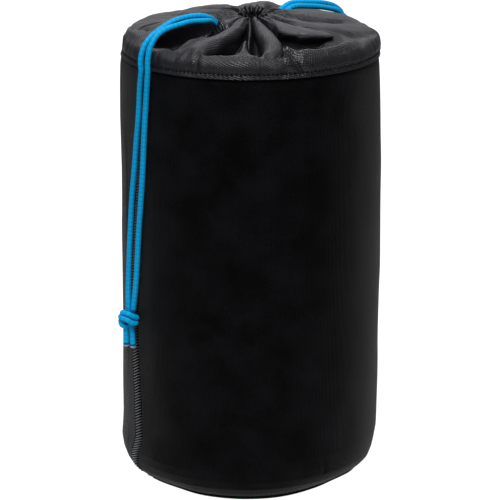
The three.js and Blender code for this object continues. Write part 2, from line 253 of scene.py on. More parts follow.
def tube(name, points, radius, material, sides=20, relief=None, caps=(0.6, 0.6), attribute=None, up=(0, 0, 1)):
    """A tube round a line of points. radius is one number or one per point; relief(angle, along) adds to it. caps are the
    lengths of its rounded ends as shares of the radius."""
    p = np.asarray(points, float)
    r = np.broadcast_to(np.asarray(radius, float), (len(p),)).copy()
    s = np.concatenate([[0], np.cumsum(np.linalg.norm(np.diff(p, axis=0), axis=1))])
    t, a, b = frames(p, up=up)
    ang = np.arange(sides) * 2 * math.pi / sides
    rings, along = [], []
    cap = 4
    for k in range(cap):
        f = (k + 1) / (cap + 1) * math.pi / 2
        rings.append((p[0] - t[0] * r[0] * caps[0] * math.cos(f), r[0] * math.sin(f), a[0], b[0]))
        along.append(s[0])
    for i in range(len(p)):
        rings.append((p[i], r[i], a[i], b[i]))
        along.append(s[i])
    for k in range(cap):
        f = (cap - k) / (cap + 1) * math.pi / 2
        rings.append((p[-1] + t[-1] * r[-1] * caps[1] * math.cos(f), r[-1] * math.sin(f), a[-1], b[-1]))
        along.append(s[-1])
    c = np.array([x[0] for x in rings])
    rad = np.array([x[1] for x in rings])[:, None] * np.ones(sides)
    aa, bb = np.array([x[2] for x in rings]), np.array([x[3] for x in rings])
    along = np.array(along)
    if relief is not None:
        rad = rad * (1 + relief(ang[None, :], along[:, None]))
    v = c[:, None] + rad[..., None] * (np.cos(ang)[None, :, None] * aa[:, None] + np.sin(ang)[None, :, None] * bb[:, None])
    n = len(rings)
    q, ci, cj = grid_faces(sides, n, True)
    pts = v.transpose(1, 0, 2).reshape(-1, 3)
    uv = np.stack([ci * (2 * math.pi * np.mean(r) / sides), along[cj]], -1)
    pole0, pole1 = len(pts), len(pts) + 1
    pts = np.concatenate([pts, [p[0] - t[0] * r[0] * caps[0]], [p[-1] + t[-1] * r[-1] * caps[1]]])
    i = np.arange(sides)
    tris = np.concatenate([np.stack([(i + 1) % sides * n, i * n, 0 * i + pole0], -1), np.stack([i * n + n - 1, (i + 1) % sides * n + n - 1, 0 * i + pole1], -1)])
    att = None
    if attribute is not None:
        att = {}
        for key, fn in attribute.items():
            values = np.broadcast_to(fn(ang[None, :], along[:, None]), (n, sides))
            att[key] = np.concatenate([values.T.ravel(), [values[0].mean(), values[-1].mean()]])
    return build(name, pts, q[:, ::-1], material, tris=tris[:, ::-1], uv=uv[:, ::-1], attribute=att)


def many_tubes(name, lines, radius, material, sides=7):
    """Short threads, each a tube with pointed ends, as one mesh."""
    vs, qs, ts, at = [], [], [], 0
    for p in lines:
        p = np.asarray(p, float)
        t, a, b = frames(p)
        ang = np.arange(sides) * 2 * math.pi / sides
        k = len(p)
        prof = np.clip(np.sin(np.linspace(0.22, math.pi - 0.22, k)), 0, 1) ** 0.45
        v = p[:, None] + (radius * prof)[:, None, None] * (np.cos(ang)[None, :, None] * a[:, None] + np.sin(ang)[None, :, None] * b[:, None])
        q, _, _ = grid_faces(sides, k, True)
        vs.append(np.concatenate([v.transpose(1, 0, 2).reshape(-1, 3), p[:1] - t[:1] * radius * 0.5, p[-1:] + t[-1:] * radius * 0.5]))
        i = np.arange(sides)
        ts.append(np.concatenate([np.stack([i * k, (i + 1) % sides * k, 0 * i + sides * k], -1), np.stack([(i + 1) % sides * k + k - 1, i * k + k - 1, 0 * i + sides * k + 1], -1)]) + at)
        qs.append(q[:, ::-1] + at)
        at += sides * k + 2
    return build(name, np.concatenate(vs), np.concatenate(qs), material, tris=np.concatenate(ts))


# ---------------------------------------------------------------- materials
def material(name, color, roughness, specular, sheen=0.0, sheen_roughness=0.5, sheen_tint=(1, 1, 1)):
    m = bpy.data.materials.new(name)
    m.use_nodes = True
    nt = m.node_tree
    nt.nodes.clear()
    out = nt.nodes.new("ShaderNodeOutputMaterial")
    bsdf = nt.nodes.new("ShaderNodeBsdfPrincipled")
    nt.links.new(bsdf.outputs[0], out.inputs[0])
    bsdf.inputs["Base Color"].default_value = (*color, 1)
    bsdf.inputs["Roughness"].default_value = roughness
    bsdf.inputs["Specular IOR Level"].default_value = specular
    bsdf.inputs["Sheen Weight"].default_value = sheen
    bsdf.inputs["Sheen Roughness"].default_value = sheen_roughness
    bsdf.inputs["Sheen Tint"].default_value = (*sheen_tint, 1)
    return m, nt, bsdf


def node(nt, kind, **values):
    n = nt.nodes.new(kind)
    for k, x in values.items():
        if hasattr(n, k):
            setattr(n, k, x)
        else:
            n.inputs[k.replace("_", " ")].default_value = x
    return n


def wave(nt, uv, pitch, direction="X", profile="SIN", distortion=0.0, detail=0.0, rotate=0.0):
    """Bands with the given pitch in millimetres over texture coordinates that are in millimetres."""
    m = node(nt, "ShaderNodeMapping")
    m.inputs["Rotation"].default_value = (0, 0, rotate)
    nt.links.new(uv, m.inputs["Vector"])
    w = node(nt, "ShaderNodeTexWave", wave_type="BANDS", bands_direction=direction, wave_profile=profile)
    w.inputs["Scale"].default_value = 2 * math.pi / 20 / pitch
    w.inputs["Distortion"].default_value = distortion
    w.inputs["Detail"].default_value = detail
    nt.links.new(m.outputs[0], w.inputs["Vector"])
    return w.outputs["Fac"]


def mixed(nt, kind, a, b):
    n = node(nt, "ShaderNodeMath", operation=kind)
    nt.links.new(a, n.inputs[0])
    nt.links.new(b, n.inputs[1])
    return n.outputs[0]


def ramp(nt, fac, stops):
    r = node(nt, "ShaderNodeValToRGB")
    nt.links.new(fac, r.inputs[0])
    e = r.color_ramp.elements
    while len(e) > len(stops):
        e.remove(e[-1])
    while len(e) < len(stops):
        e.new(0.5)
    for el, (at, c) in zip(e, stops):
        el.position, el.color = at, (*c, 1)
    return r.outputs[0]


def relief_of(nt, bsdf, height, strength, distance):
    b = node(nt, "ShaderNodeBump")
    b.inputs["Strength"].default_value = strength
    b.inputs["Distance"].default_value = distance
    nt.links.new(height, b.inputs["Height"])
    nt.links.new(b.outputs[0], bsdf.inputs["Normal"])


def uv_of(nt):
    return node(nt, "ShaderNodeUVMap", uv_map="UVMap").outputs[0]


def spread(nt, vector, scale, detail=3.0, rough=0.6):
    n = node(nt, "ShaderNodeTexNoise")
    n.inputs["Scale"].default_value = scale
    n.inputs["Detail"].default_value = detail
    n.inputs["Roughness"].default_value = rough
    nt.links.new(vector, n.inputs["Vector"])
    return n.outputs["Fac"]


def knit_material(name, dark, light, specular, roughness, sheen, pitch, fuzzy=0.5):
    """Fine weft knit: rows of small loops, brushed, on foam."""
    m, nt, bsdf = material(name, dark, roughness, specular, sheen, 0.3)
    uv = uv_of(nt)
    ribs = wave(nt, uv, pitch, "X", distortion=2.5, detail=2.0)
    rows = wave(nt, uv, pitch * 0.72, "Y", distortion=2.5, detail=2.0)
    loops = mixed(nt, "MULTIPLY", ribs, rows)
    fuzz = spread(nt, uv, 0.9, 4.0, 0.8)
    height = mixed(nt, "ADD", loops, fuzz)
    relief_of(nt, bsdf, height, fuzzy, 0.0006)
    patch = spread(nt, uv, 0.05, 3.0, 0.55)
    both = mixed(nt, "MULTIPLY", fuzz, patch)
    nt.links.new(ramp(nt, both, [(0.17, dark), (0.36, light)]), bsdf.inputs["Base Color"])
    return m


def woven_material(name, dark, light, specular, roughness, sheen, pitch):
    """Plain-woven nylon: warp and weft that cross, with a little sheen."""
    m, nt, bsdf = material(name, dark, roughness, specular, sheen, 0.35)
    uv = uv_of(nt)
    warp = wave(nt, uv, pitch, "X", distortion=0.7, detail=1.0, rotate=0.3)
    weft = wave(nt, uv, pitch * 0.9, "Y", distortion=0.7, detail=1.0, rotate=0.3)
    cross = mixed(nt, "MULTIPLY", warp, weft)
    over = mixed(nt, "MAXIMUM", warp, weft)
    weave = mixed(nt, "ADD", cross, over)
    slub = spread(nt, uv, 0.8, 4.0, 0.75)
    height = mixed(nt, "ADD", weave, slub)
    relief_of(nt, bsdf, height, 0.9, 0.00010)
    tone = mixed(nt, "MULTIPLY", weave, slub)
    nt.links.new(ramp(nt, tone, [(0.15, dark), (0.95, light)]), bsdf.inputs["Base Color"])
    nt.links.new(ramp(nt, slub, [(0.3, (roughness - 0.1,) * 3), (0.7, (roughness + 0.12,) * 3)]), bsdf.inputs["Roughness"])
    return m


KNIT = knit_material("knit_facing", (0.0002, 0.0002, 0.0003), (0.0036, 0.0037, 0.0045), 0.030, 0.55, 0.078, 0.8)
# a darker copy of the knit without sheen: painted shade, for the base's edge by the floor and for the side seam's gap
KNIT_PAINTED_SHADE = knit_material("knit_painted_shade", (0.0002, 0.0002, 0.0003), (0.0010, 0.0010, 0.0012), 0.02, 0.7, 0.0, 0.8)
LINING = knit_material("lining_knit", (0.012, 0.012, 0.013), (0.022, 0.022, 0.024), 0.25, 0.7, 0.08, 0.7)
WOVEN = woven_material("collar_woven", (0.0006, 0.0006, 0.0008), (0.0190, 0.0190, 0.0210), 0.36, 0.33, 0.0, 0.98)

FOAM, _nt, _b = material("foam_core", (0.02, 0.02, 0.021), 0.9, 0.2)
_v = node(_nt, "ShaderNodeTexVoronoi")
_v.inputs["Scale"].default_value = 2600.0
_nt.links.new(node(_nt, "ShaderNodeTexCoord").outputs["Object"], _v.inputs["Vector"])
relief_of(_nt, _b, _v.outputs["Distance"], 0.6, 0.0002)

THREAD, _nt, _b = material("sewing_thread", (0.0015, 0.0015, 0.0018), 0.6, 0.1, 0.0)
_w = node(_nt, "ShaderNodeTexWave", wave_type="BANDS", bands_direction="DIAGONAL")
_w.inputs["Scale"].default_value = 900.0
_nt.links.new(node(_nt, "ShaderNodeTexCoord").outputs["Object"], _w.inputs["Vector"])
relief_of(_nt, _b, _w.outputs["Fac"], 0.5, 0.0001)

SEAM_THREAD, _nt, _b = material("flatlock_thread", (0.07, 0.074, 0.082), 0.5, 0.4, 0.12)
_w = node(_nt, "ShaderNodeTexWave", wave_type="BANDS", bands_direction="DIAGONAL")
_w.inputs["Scale"].default_value = 900.0
_nt.links.new(node(_nt, "ShaderNodeTexCoord").outputs["Object"], _w.inputs["Vector"])
relief_of(_nt, _b, _w.outputs["Fac"], 0.5, 0.0001)


def cord_material():
    """Braided cord: yarns that cross on a slant, with painted shade between them, dark and then paler at the cut and
    melted ends.
    """
    m, nt, bsdf = material("drawcord_braid", (0.0, 0.30, 0.62), 0.5, 0.10, 0.12, 0.4, (0.0, 0.6, 1.0))
    uv = uv_of(nt)
    fibre = spread(nt, uv, 5.0, 3.0, 0.65)
    relief_of(nt, bsdf, fibre, 0.5, 0.00008)
    yarn = node(nt, "ShaderNodeAttribute", attribute_name="yarn")
    # the yarn attribute darkens the colour where the yarns sink: painted shade between the yarns
    tone = mixed(nt, "MULTIPLY", mixed(nt, "ADD", fibre, yarn.outputs["Fac"]), yarn.outputs["Fac"])
    blue = ramp(nt, tone, [(0.05, (0.0, 0.09, 0.22)), (0.45, (0.0, 0.29, 0.58)), (1.0, (0.002, 0.48, 0.84))])
    tip = node(nt, "ShaderNodeAttribute", attribute_name="tip")
    pale = ramp(nt, fibre, [(0.38, (0.0, 0.08, 0.20)), (0.60, (0.50, 0.62, 0.68))])
    dark = node(nt, "ShaderNodeAttribute", attribute_name="singed")
    char = ramp(nt, fibre, [(0.3, (0.0, 0.03, 0.10)), (0.7, (0.0, 0.07, 0.18))])
    base = blue
    for fac, other in ((dark, char), (tip, pale)):
        mix = node(nt, "ShaderNodeMix", data_type="RGBA")
        nt.links.new(fac.outputs["Fac"], mix.inputs["Factor"])
        nt.links.new(base, mix.inputs[6])
        nt.links.new(other, mix.inputs[7])
        base = mix.outputs[2]
    nt.links.new(base, bsdf.inputs["Base Color"])
    return m


CORDM = cord_material()


def put(ob, body, slot, *nodes):
    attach(ob, body)
    if nodes:
        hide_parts(*nodes)
    return ob


# ---------------------------------------------------------------- padded wall
WALL_LEFT = [(0.0, 50.8), (1.0, 52.2), (2.5, 54.6), (5.0, 58.0), (8.0, 60.6), (12.0, 62.0), (16.5, 62.6), (22.0, 62.1), (28.0, 61.75), (60.0, 61.7), (100.0, 61.55), (125.0, 61.3), (150.0, 61.0), (175.0, 61.45), (192.0, 61.25), (200.0, 61.05), (206.0, 60.35), (213.0, 59.6)]
WALL_RIGHT = [(0.0, 50.2), (1.0, 51.4), (2.5, 53.3), (5.0, 56.2), (8.0, 58.6), (12.0, 60.0), (16.5, 60.9), (22.0, 61.7), (28.0, 61.8), (60.0, 62.2), (100.0, 62.45), (125.0, 62.3), (150.0, 62.3), (175.0, 61.9), (192.0, 61.3), (200.0, 60.9), (206.0, 60.25), (213.0, 59.6)]
SEAM_LINE = [(2.0, -66.0), (8.0, -64.3), (12.0, -63.0), (16.0, -61.6), (20.0, -60.0), (25.0, -58.7), (32.0, -59.0), (50.0, -60.0), (75.0, -61.8), (90.0, -61.3), (100.0, -61.3), (121.0, -59.6), (145.0, -57.0), (181.0, -53.8), (213.0, -51.0)]
wall_noise, wall_noise2 = Noise(3), Noise(8)


def seam_azimuth(z):
    return np.interp(z, *zip(*SEAM_LINE))


def wall_radius(b, z):
    """Outside radius of the soft wall by azimuth and height."""
    b, z = np.broadcast_arrays(np.asarray(b, float), np.asarray(z, float))
    side = 0.5 + 0.5 * np.sin(np.radians(b))
    r = np.interp(z, *zip(*WALL_LEFT)) * (1 - side) + np.interp(z, *zip(*WALL_RIGHT)) * side
    # soft unevenness of the foam, and dents where it was held
    mid = smooth(z, 3, 25) * (1 - smooth(z, 190, 205))
    r = r + mid * (0.22 * wall_noise(b / 22.5, z / 38) + 0.10 * wall_noise2(b / 11.25, z / 17))
    d = (b + 180) % 360 - 180
    r = r - (3.0 * bump(d, 38.0, 20.0) + 2.2 * bump(d, 57.0, 13.0) + 1.4 * bump(d, -42.0, 11.0)) * (1 - smooth(z, 0, 13))
    r = r - 1.9 * bump(d, 20.0, 6.5) * bump(z, 190.5, 8.5) + 0.8 * bump(d, 30.5, 5.0) * bump(z, 188.0, 10.0)
    r = r - 0.4 * bump(d, 22.0, 8.0) * bump(z, 152.0, 10.0)
    r = r - 0.30 * bump(d, -20.0, 10.0) * bump(z, 168.0, 16.0)
    # the upper edge is pressed in under the front of the collar
    r = r - 2.4 * bump(d, -6.0, 26.0) * smooth(z, 204, 211)
    # short crease near the base
    arc = 30.0 + 5.5 * np.sqrt(np.clip(1 - ((z - 14.0) / 8.0) ** 2, 0, 1))
    r = r - 0.42 * bump(d, arc, 1.1) * smooth(z, 10.5, 14) * (1 - smooth(z, 19, 22))
    # butted and flat-sewn side seam: a low flat ridge between two narrow grooves
    s = (d - seam_azimuth(z)) * math.pi / 180 * 61
    r = r + 0.55 * bump(s, 0, 5.5) - 0.30 * bump(s, 0, 0.35) - 0.55 * bump(np.abs(s), 3.0, 0.5) + 0.15 * bump(s, 0, 2.2)
    return r


def wall_samples():
    b = np.concatenate([np.arange(-70.5, -43.5, 0.25 / FINE), np.arange(-43.5, 289.5, 1.15 / FINE)])
    z = np.concatenate([np.linspace(3.0, 30, int(60 * FINE)), np.linspace(30, 198, int(120 * FINE))[1:], np.linspace(198, 212.4, int(14 * FINE))[1:]])
    return b, z


def wall_layer(name, first, second, mat, slot, foot=0.0):
    """One layer of the wall's laminate, from `first` to `second` millimetres under the outside."""
    b, z = wall_samples()
    B, Z = np.meshgrid(b, z, indexing="ij")
    # at the foot the wall turns under the base, so the layers follow the outline's own normal there
    dr = (wall_radius(B, Z + 0.2) - wall_radius(B, Z - 0.2)) / 0.4
    dr = np.clip(dr, 0, 3) * (1 - smooth(Z, 10, 20))
    k = 1 / np.sqrt(1 + dr * dr)
    out = []
    for depth in (first, second):
        r = wall_radius(B, Z) - depth * k
        zz = Z + depth * dr * k * 0.75
        out.append(polar(B, r, zz))
    ob = shell(name, out[0], out[1], mat, True, cu=b * math.pi / 180 * 61, cv=z)
    put(ob, "root", slot)
    return ob


facing = wall_layer("wall_facing_knit", 0.0, 0.55, KNIT, "knit_facing")
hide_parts("wall_facing")
core = wall_layer("wall_foam_core", 0.85, 3.95, FOAM, "foam")
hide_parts("wall_foam")
inside = wall_layer("wall_lining_knit", 4.3, 4.8, LINING, "lining")
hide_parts("wall_lining")


# ---------------------------------------------------------------- base panel
def turned_disc(name, profile, mat, slot, *nodes, wobble=0.0, seed=5):
    """A disc turned from [radius, height] points, first and last on the axis."""
    pr = np.asarray(profile, float)
    n = int(160 * FINE)
    b = np.arange(n) * 360 / n
    B = b[:, None]
    R, Z = pr[1:-1, 0][None, :], pr[1:-1, 1][None, :]
    edge = Noise(seed)
    wr = wobble * edge(B / 22.5, 0.3) * (R / pr[:, 0].max())
    # the base follows the wall's foot, which is a little off round
    foot = (wall_radius(B, 1.2) - 51.9) * (R / pr[:, 0].max()) ** 2
    p = polar(B, R + wr + foot, Z + 0 * B)
    q, ci, cj = grid_faces(n, p.shape[1], True)
    pts = np.concatenate([p.reshape(-1, 3), [[0, 0, pr[0, 1]], [0, 0, pr[-1, 1]]]])
    i = np.arange(n)
    k = p.shape[1]
    tris = np.concatenate([np.stack([i * k, (i + 1) % n * k, 0 * i + n * k], -1)[:, ::-1], np.stack([(i + 1) % n * k + k - 1, i * k + k - 1, 0 * i + n * k + 1], -1)[:, ::-1]])
    xy = np.concatenate([p.reshape(-1, 3)[:, :2], [[0, 0], [0, 0]]])
    ob = build(name, pts, q, mat, tris=tris, uv=xy[q].reshape(-1, 4, 2))
    put(ob, "root", slot, *nodes)
    return ob


rings = np.linspace(6, 48, int(14 * FINE))
# the base's visible edge wears the darker knit copy: painted shade where the pouch meets the floor
turned_disc("base_facing_knit", [[0, 0.0]] + [[r, 0.0] for r in rings] + [[50.2, 0.05], [51.6, 0.35], [52.7, 1.0], [53.4, 1.9], [53.6, 2.7], [53.2, 3.2], [52.2, 3.2], [50.6, 2.0], [49.4, 1.15]] + [[r, 0.75] for r in rings[::-1]] + [[0, 0.75]], KNIT_PAINTED_SHADE, "knit_facing", "base_facing", wobble=0.15)
base_core = turned_disc("base_foam_core", [[0, 1.35]] + [[r, 1.35] for r in rings] + [[49.2, 1.5], [50.0, 2.4], [49.4, 3.8]] + [[r, 4.0] for r in rings[::-1]] + [[0, 4.0]], FOAM, "foam", "base_foam")
turned_disc("base_lining_knit", [[0, 4.3]] + [[r, 4.3] for r in rings[:-1]] + [[47.2, 4.4], [47.6, 4.6], [47.0, 4.85]] + [[r, 4.9] for r in rings[:-1][::-1]] + [[0, 4.9]], LINING, "lining", "base_lining")


# ---------------------------------------------------------------- collar: one gathered strip of cloth
RL = [59.6, 58.5, 57.3, 56.0, 54.4, 52.6, 50.6, 48.4, 46.0, 43.6, 41.2, 38.8, 36.4, 34.0, 31.4, 28.6, 25.6, 22.6, 19.6, 16.8, 14.2, 11.8]
CREST = [(0.0, 223.9), (11.5, 223.9), (16.0, 223.6), (21.5, 223.1), (27.5, 222.5), (33.0, 221.8), (38.0, 221.1), (43.0, 220.3), (48.5, 219.1), (53.2, 217.6), (56.6, 216.1), (58.4, 215.0), (59.5, 214.1), (60.4, 213.0)]
VALLEYS = [-82, -52, -16, 7, 21, 62, 92, 120, 156, 192, 226, 252]
lines = []  # each: azimuth by radius, height against the crest surface by radius, radius shift by radius, first of a pleat


def at(table, r):
    if not hasattr(table, "__len__"):
        return float(table)
    t = sorted(table)
    return float(np.interp(r, [x[0] for x in t], [x[1] for x in t]))


def line(beta, dz, dr=0.0, first=False):
    lines.append((beta, dz, dr, first))


def pocket_line(beta, shelf, lip, deep, rim, inner):
    """A line over the rim, down behind the shelf, under the lip and over it. rim and inner are heights against the crest."""
    foot, back = shelf - 2.2, lip - 2.6
    prof = [(59.6, rim[0]), (0.6 * 59.6 + 0.4 * shelf, rim[1]), (shelf + 0.5, rim[2]), (shelf - 0.3, rim[2] - 1.2), (shelf - 1.2, -0.3 * deep), (foot, -0.65 * deep), (0.6 * foot + 0.4 * back, -deep), (0.25 * foot + 0.75 * back, -deep), (back - 0.4, -0.8 * deep), (back - 0.6, -0.48 * deep), (lip - 1.1, -0.26 * deep), (lip - 0.1, -0.12 * deep), (lip, -0.2), (lip - 1.4, 0.5), (lip - 3.6, 0.75), (0.5 * lip + 11.0, 0.7)]
    prof += [(r, at(inner, r)) for r in RL[len(prof) :]]
    line([(q, at(beta, r)) for q, (r, _) in zip(RL, prof)], [(q, at(CREST, r) + h - at(CREST, q)) for q, (r, h) in zip(RL, prof)], [(q, r - q) for q, (r, _) in zip(RL, prof)])


# left side: one broad smooth pleat whose inner edge overhangs the hollow
line([(60, -82), (20, -84), (11, -88)], [(60, 0.0), (57, 0.5), (55, 0.3), (53, -1.2), (51, -0.2), (48, 0.0), (40, 0.0), (30, -0.6), (20, -1.6), (15, -3.0), (11, -4.0)], first=True)
line([(60, -76), (50, -75), (40, -76), (30, -78), (20, -78), (11, -79)], [(60, 0.1), (56, 0.7), (53, 0.3), (50.6, -1.2), (48.4, -0.1), (44, 0.4), (40, 0.4), (30, 0.0), (20, -0.4), (11, -0.4)])
line([(60, -69), (50, -68), (40, -70), (30, -73), (20, -73), (11, -72)], [(60, 0.2), (55, 0.7), (50.5, 0.1), (48.2, -1.2), (46, -0.3), (40, -0.2), (30, -0.6), (20, -0.8), (11, -0.4)])
line([(60, -61.5), (54, -62), (48, -63), (40, -66.5), (33, -70), (26, -72), (18, -70), (11, -66)], [(60, -0.1), (55, -0.3), (48, -1.0), (40, -1.7), (33, -2.0), (26, -2.0), (18, -1.7), (11, -1.4)])
# hollow under the front cord
line([(60, -55), (57, -57), (53, -61), (48, -66), (40, -72), (33, -76), (26, -76), (18, -71), (11, -63)], [(60, -0.3), (57, -1.6), (53, -4.5), (48, -8.5), (40, -12.0), (33, -12.5), (26, -10.5), (20, -8.0), (15, -6.0), (11, -5.0)], first=True)
line([(60, -49), (53, -51), (48, -53), (40, -56), (30, -58), (22, -57), (11, -57)], [(60, -0.3), (57, -1.4), (54, -4.0), (51, -7.0), (48, -10.0), (40, -14.0), (33, -14.0), (28, -12.5), (25, -9.5), (22, -5.0), (18, -3.0), (15, -2.6), (11, -2.4)])
line([(60, -43.5), (53, -44.5), (48, -45), (40, -46), (34, -46.5), (28, -46.5), (22, -46), (11, -50)], [(60, 0.0), (57, -0.6), (54, -3.0), (51, -6.5), (48, -9.0), (43, -11.0), (38, -12.0), (34, -12.5), (31, -12.5), (28.6, -11.5), (25.6, -7.0), (23.6, -1.4), (22, 0.0), (18, 0.2), (11, -0.2)])
line([(60, -39.5), (53, -40), (48, -40.5), (43, -41), (38, -40.5), (34, -39.5), (28, -38.5), (22, -38.5), (11, -43)], [(60, 0.0), (57, -0.5), (55.5, -2.2), (54, -3.6), (51, -4.2), (48, -3.6), (43, -2.8), (38, -4.5), (34, -8.0), (31, -10.5), (28.6, -10.5), (25.6, -7.0), (23.6, -1.2), (22, 0.3), (18, 0.5), (11, 0.0)])
line([(60, -36), (53, -36.5), (48, -36.5), (43, -35.5), (38, -33.5), (34, -32), (28, -30.5), (22, -31.5), (11, -37)], [(60, -0.3), (57, -0.8), (55.5, -2.4), (54, -3.4), (51, -3.4), (48, -2.4), (43, -1.6), (38, -2.2), (34, -5.0), (31, -8.0), (28.6, -9.5), (25.6, -8.0), (23.6, -3.0), (22, -0.8), (18, -0.3), (11, -0.8)])
# rolled pleat to the front left, sewn along its upper side
line([(60, -33), (55, -33), (50, -31), (46, -28.4), (43, -26.2), (38, -24), (34, -22.8), (28, -22.8), (22, -24.4), (16, -28), (11, -32)], [(60, -0.5), (57, -0.8), (54, -1.9), (51, -1.9), (48, -1.6), (43, -1.7), (36, -2.6), (32, -3.8), (28.6, -5.5), (25.6, -6.0), (22.6, -4.0), (19.6, -2.0), (16, -1.4), (11, -1.4)])
line([(60, -31), (55, -30.6), (50, -28.4), (46, -25.8), (43, -23.6), (38, -21.6), (34, -20.4), (28, -20), (22, -21.4), (16, -25), (11, -29)], [(60, -0.1), (57, 0.1), (53, 0.4), (48, 0.5), (43, 0.4), (36, 0.2), (30, 0.0), (22, 0.0), (11, -0.5)])
line([(60, -28.6), (56, -27.6), (50, -24.8), (46, -22.2), (43, -20.0), (36, -17.4), (28, -16.0), (20, -17.6), (14, -20.6), (11, -23.6)], [(60, -0.5), (58, 0.1), (56, 0.7), (50, 0.9), (43, 0.8), (30, 0.5), (20, 0.3), (11, 0.0)])
line([(60, -26.4), (57, -25.6), (53, -23.8), (49, -21.4), (43, -17.4), (36, -14.2), (28, -12.2), (20, -12.8), (14, -16.6), (11, -20)], [(60, 0.4), (58, 0.7), (56, 0.6), (50, 0.4), (43, 0.4), (30, 0.3), (20, 0.2), (11, -0.2)])
line([(60, -23.8), (57, -23.2), (53, -21.6), (48, -18.2), (43, -15.6), (36, -12.0), (28, -9.8), (20, -10.2), (14, -14), (11, -17.8)], [(60, 0.3), (58, 0.2), (56, -0.8), (53, -1.4), (48, -1.4), (40, -1.4), (30, -1.2), (20, -1.0), (11, -1.0)])
line([(60, -21.6), (57, -21.6), (53, -20.8), (48, -17.6), (43, -15.0), (36, -11.4), (28, -9.0), (20, -9.2), (14, -12.8), (11, -16.6)], [(60, 0.2), (58, -0.2), (56, -2.2), (53, -4.2), (48, -4.6), (40, -4.4), (30, -3.8), (20, -2.8), (11, -2.2)])
# dark valley and the small cone in it
line([(60, -17.6), (57, -19), (54, -21.5), (48, -21.5), (42, -19), (34, -15), (26, -11.5), (20, -10.8), (16, -12), (11, -15.6)], [(60, 0.1), (58.5, -0.2), (57, -2.0), (54, -6.0), (48, -10.5), (42, -12.5), (34, -12.0), (26, -9.5), (20, -7.5), (15, -6.0), (11, -5.0)], first=True)
line([(60, -12.8), (54, -12), (48, -11), (43, -9.5), (34, -7.5), (26, -6.2), (20, -7.6), (16, -9.6), (11, -13.4)], [(60, 0.1), (58.5, 0.0), (57.4, -0.8), (56, -3.2), (54, -6.0), (51, -9.0), (48, -11.0), (43, -13.0), (34, -12.0), (26, -8.5), (20, -5.5), (16, -4.6), (11, -4.0)])
line([(60, -8.4), (57, -7.8), (54, -6.7), (50, -5.5), (46, -4.4), (43, -3.7), (36, -3.5), (30, -3.6), (25, -4.2), (20, -5.4), (16, -7.2), (11, -11.2)], [(60, 0.1), (58.5, 0.1), (57, -0.6), (55.5, -1.8), (54, -2.6), (50, -3.8), (46, -4.6), (43, -6.2), (40, -9.0), (36, -9.0), (33, -6.6), (28, -4.8), (21, -3.4), (15, -2.8), (11, -2.4)])
line([(60, -3.4), (54, -3.2), (47, -2.7), (43, -2.2), (32, -1.8), (25, -2.2), (20, -3.0), (16, -4.8), (11, -8.8)], [(60, 0.1), (57.5, 0.3), (55, 0.5), (51, 0.6), (47, 0.4), (45, 0.0), (43.6, -1.0), (42, -4.0), (40.5, -7.0), (38, -7.5), (35.5, -5.0), (33, -2.8), (28, -2.0), (21, -1.8), (15, -1.5), (11, -1.2)])
line([(60, 0.2), (57, 0.6), (54, 0.4), (50, -0.2), (46, -0.6), (43, -0.9), (36, -0.3), (30, -0.2), (25, -0.6), (20, -1.4), (16, -2.8), (11, -6.8)], [(60, 0.1), (58.5, 0.1), (57, -0.4), (55.5, -1.6), (54, -2.4), (50, -3.6), (46, -4.6), (43, -6.2), (40, -9.0), (36, -9.0), (33, -6.6), (28, -4.8), (21, -3.4), (15, -2.8), (11, -2.4)])
line([(60, 2.2), (57, 2.6), (54, 3.2), (48, 3.8), (43, 3.4), (36, 2.6), (25, 0.8), (20, 0.0), (16, -1.6), (11, -5.2)], [(60, 0.1), (58.5, 0.0), (57.4, -0.8), (56, -3.0), (53, -6.5), (48, -11.0), (43, -13.0), (36, -12.0), (25, -8.0), (18, -5.5), (11, -4.4)])
# rolled pleat to the front right
line([(60, 3.6), (57, 5.0), (54, 7.4), (48, 8.8), (43, 8.4), (36, 6.8), (25, 3.2), (18, 0.8), (16, -0.2), (11, -4.0)], [(60, 0.0), (58.5, -0.3), (57, -2.2), (54, -6.0), (48, -10.5), (43, -12.5), (36, -11.5), (25, -8.5), (18, -6.5), (11, -5.0)], first=True)
line([(60, 4.8), (57, 5.2), (53, 5.8), (46, 6.2), (36, 4.7), (25, 1.9), (16, 0.0), (11, -2.2)], [(60, 0.1), (58, -0.3), (56, -2.0), (53, -4.0), (46, -4.4), (36, -3.8), (25, -3.0), (16, -2.4), (11, -2.0)])
line([(60, 5.8), (57, 6.2), (53, 7.0), (46, 7.2), (36, 5.7), (25, 2.9), (16, 0.8), (11, -1.2)], [(60, 0.1), (58, 0.1), (56, -0.5), (53, -1.2), (46, -1.4), (36, -1.2), (25, -1.0), (11, -1.0)])
line([(60, 7.2), (57, 8.0), (53, 9.2), (46, 9.4), (36, 7.8), (25, 4.8), (16, 2.2), (11, 0.2)], [(60, 0.1), (57, 0.3), (53, 0.3), (46, 0.4), (36, 0.3), (25, 0.1), (11, -0.3)])
line([(60, 8.6), (57, 10.2), (53, 11.8), (48, 12.4), (43, 12.0), (32, 9.6), (22, 6.8), (16, 4.6), (11, 2.4)], [(60, 0.0), (57, 0.6), (52, 0.9), (44, 1.0), (32, 0.7), (22, 0.4), (11, 0.1)])
line([(60, 10.0), (57, 12.2), (53, 14.4), (48, 15.4), (43, 15.2), (32, 13.8), (22, 11.6), (16, 9.4), (11, 7.4)], [(60, -0.3), (57, 0.1), (52, 0.2), (44, 0.3), (32, 0.2), (22, 0.1), (11, -0.2)])
line([(60, 11.0), (57, 13.6), (54, 15.6), (50, 16.8), (46, 17.2), (36, 17.6), (25, 16.6), (16, 14.6), (11, 12.6)], [(60, -0.7), (57, -1.0), (52, -1.4), (46, -1.7), (36, -1.8), (25, -1.6), (11, -1.5)])
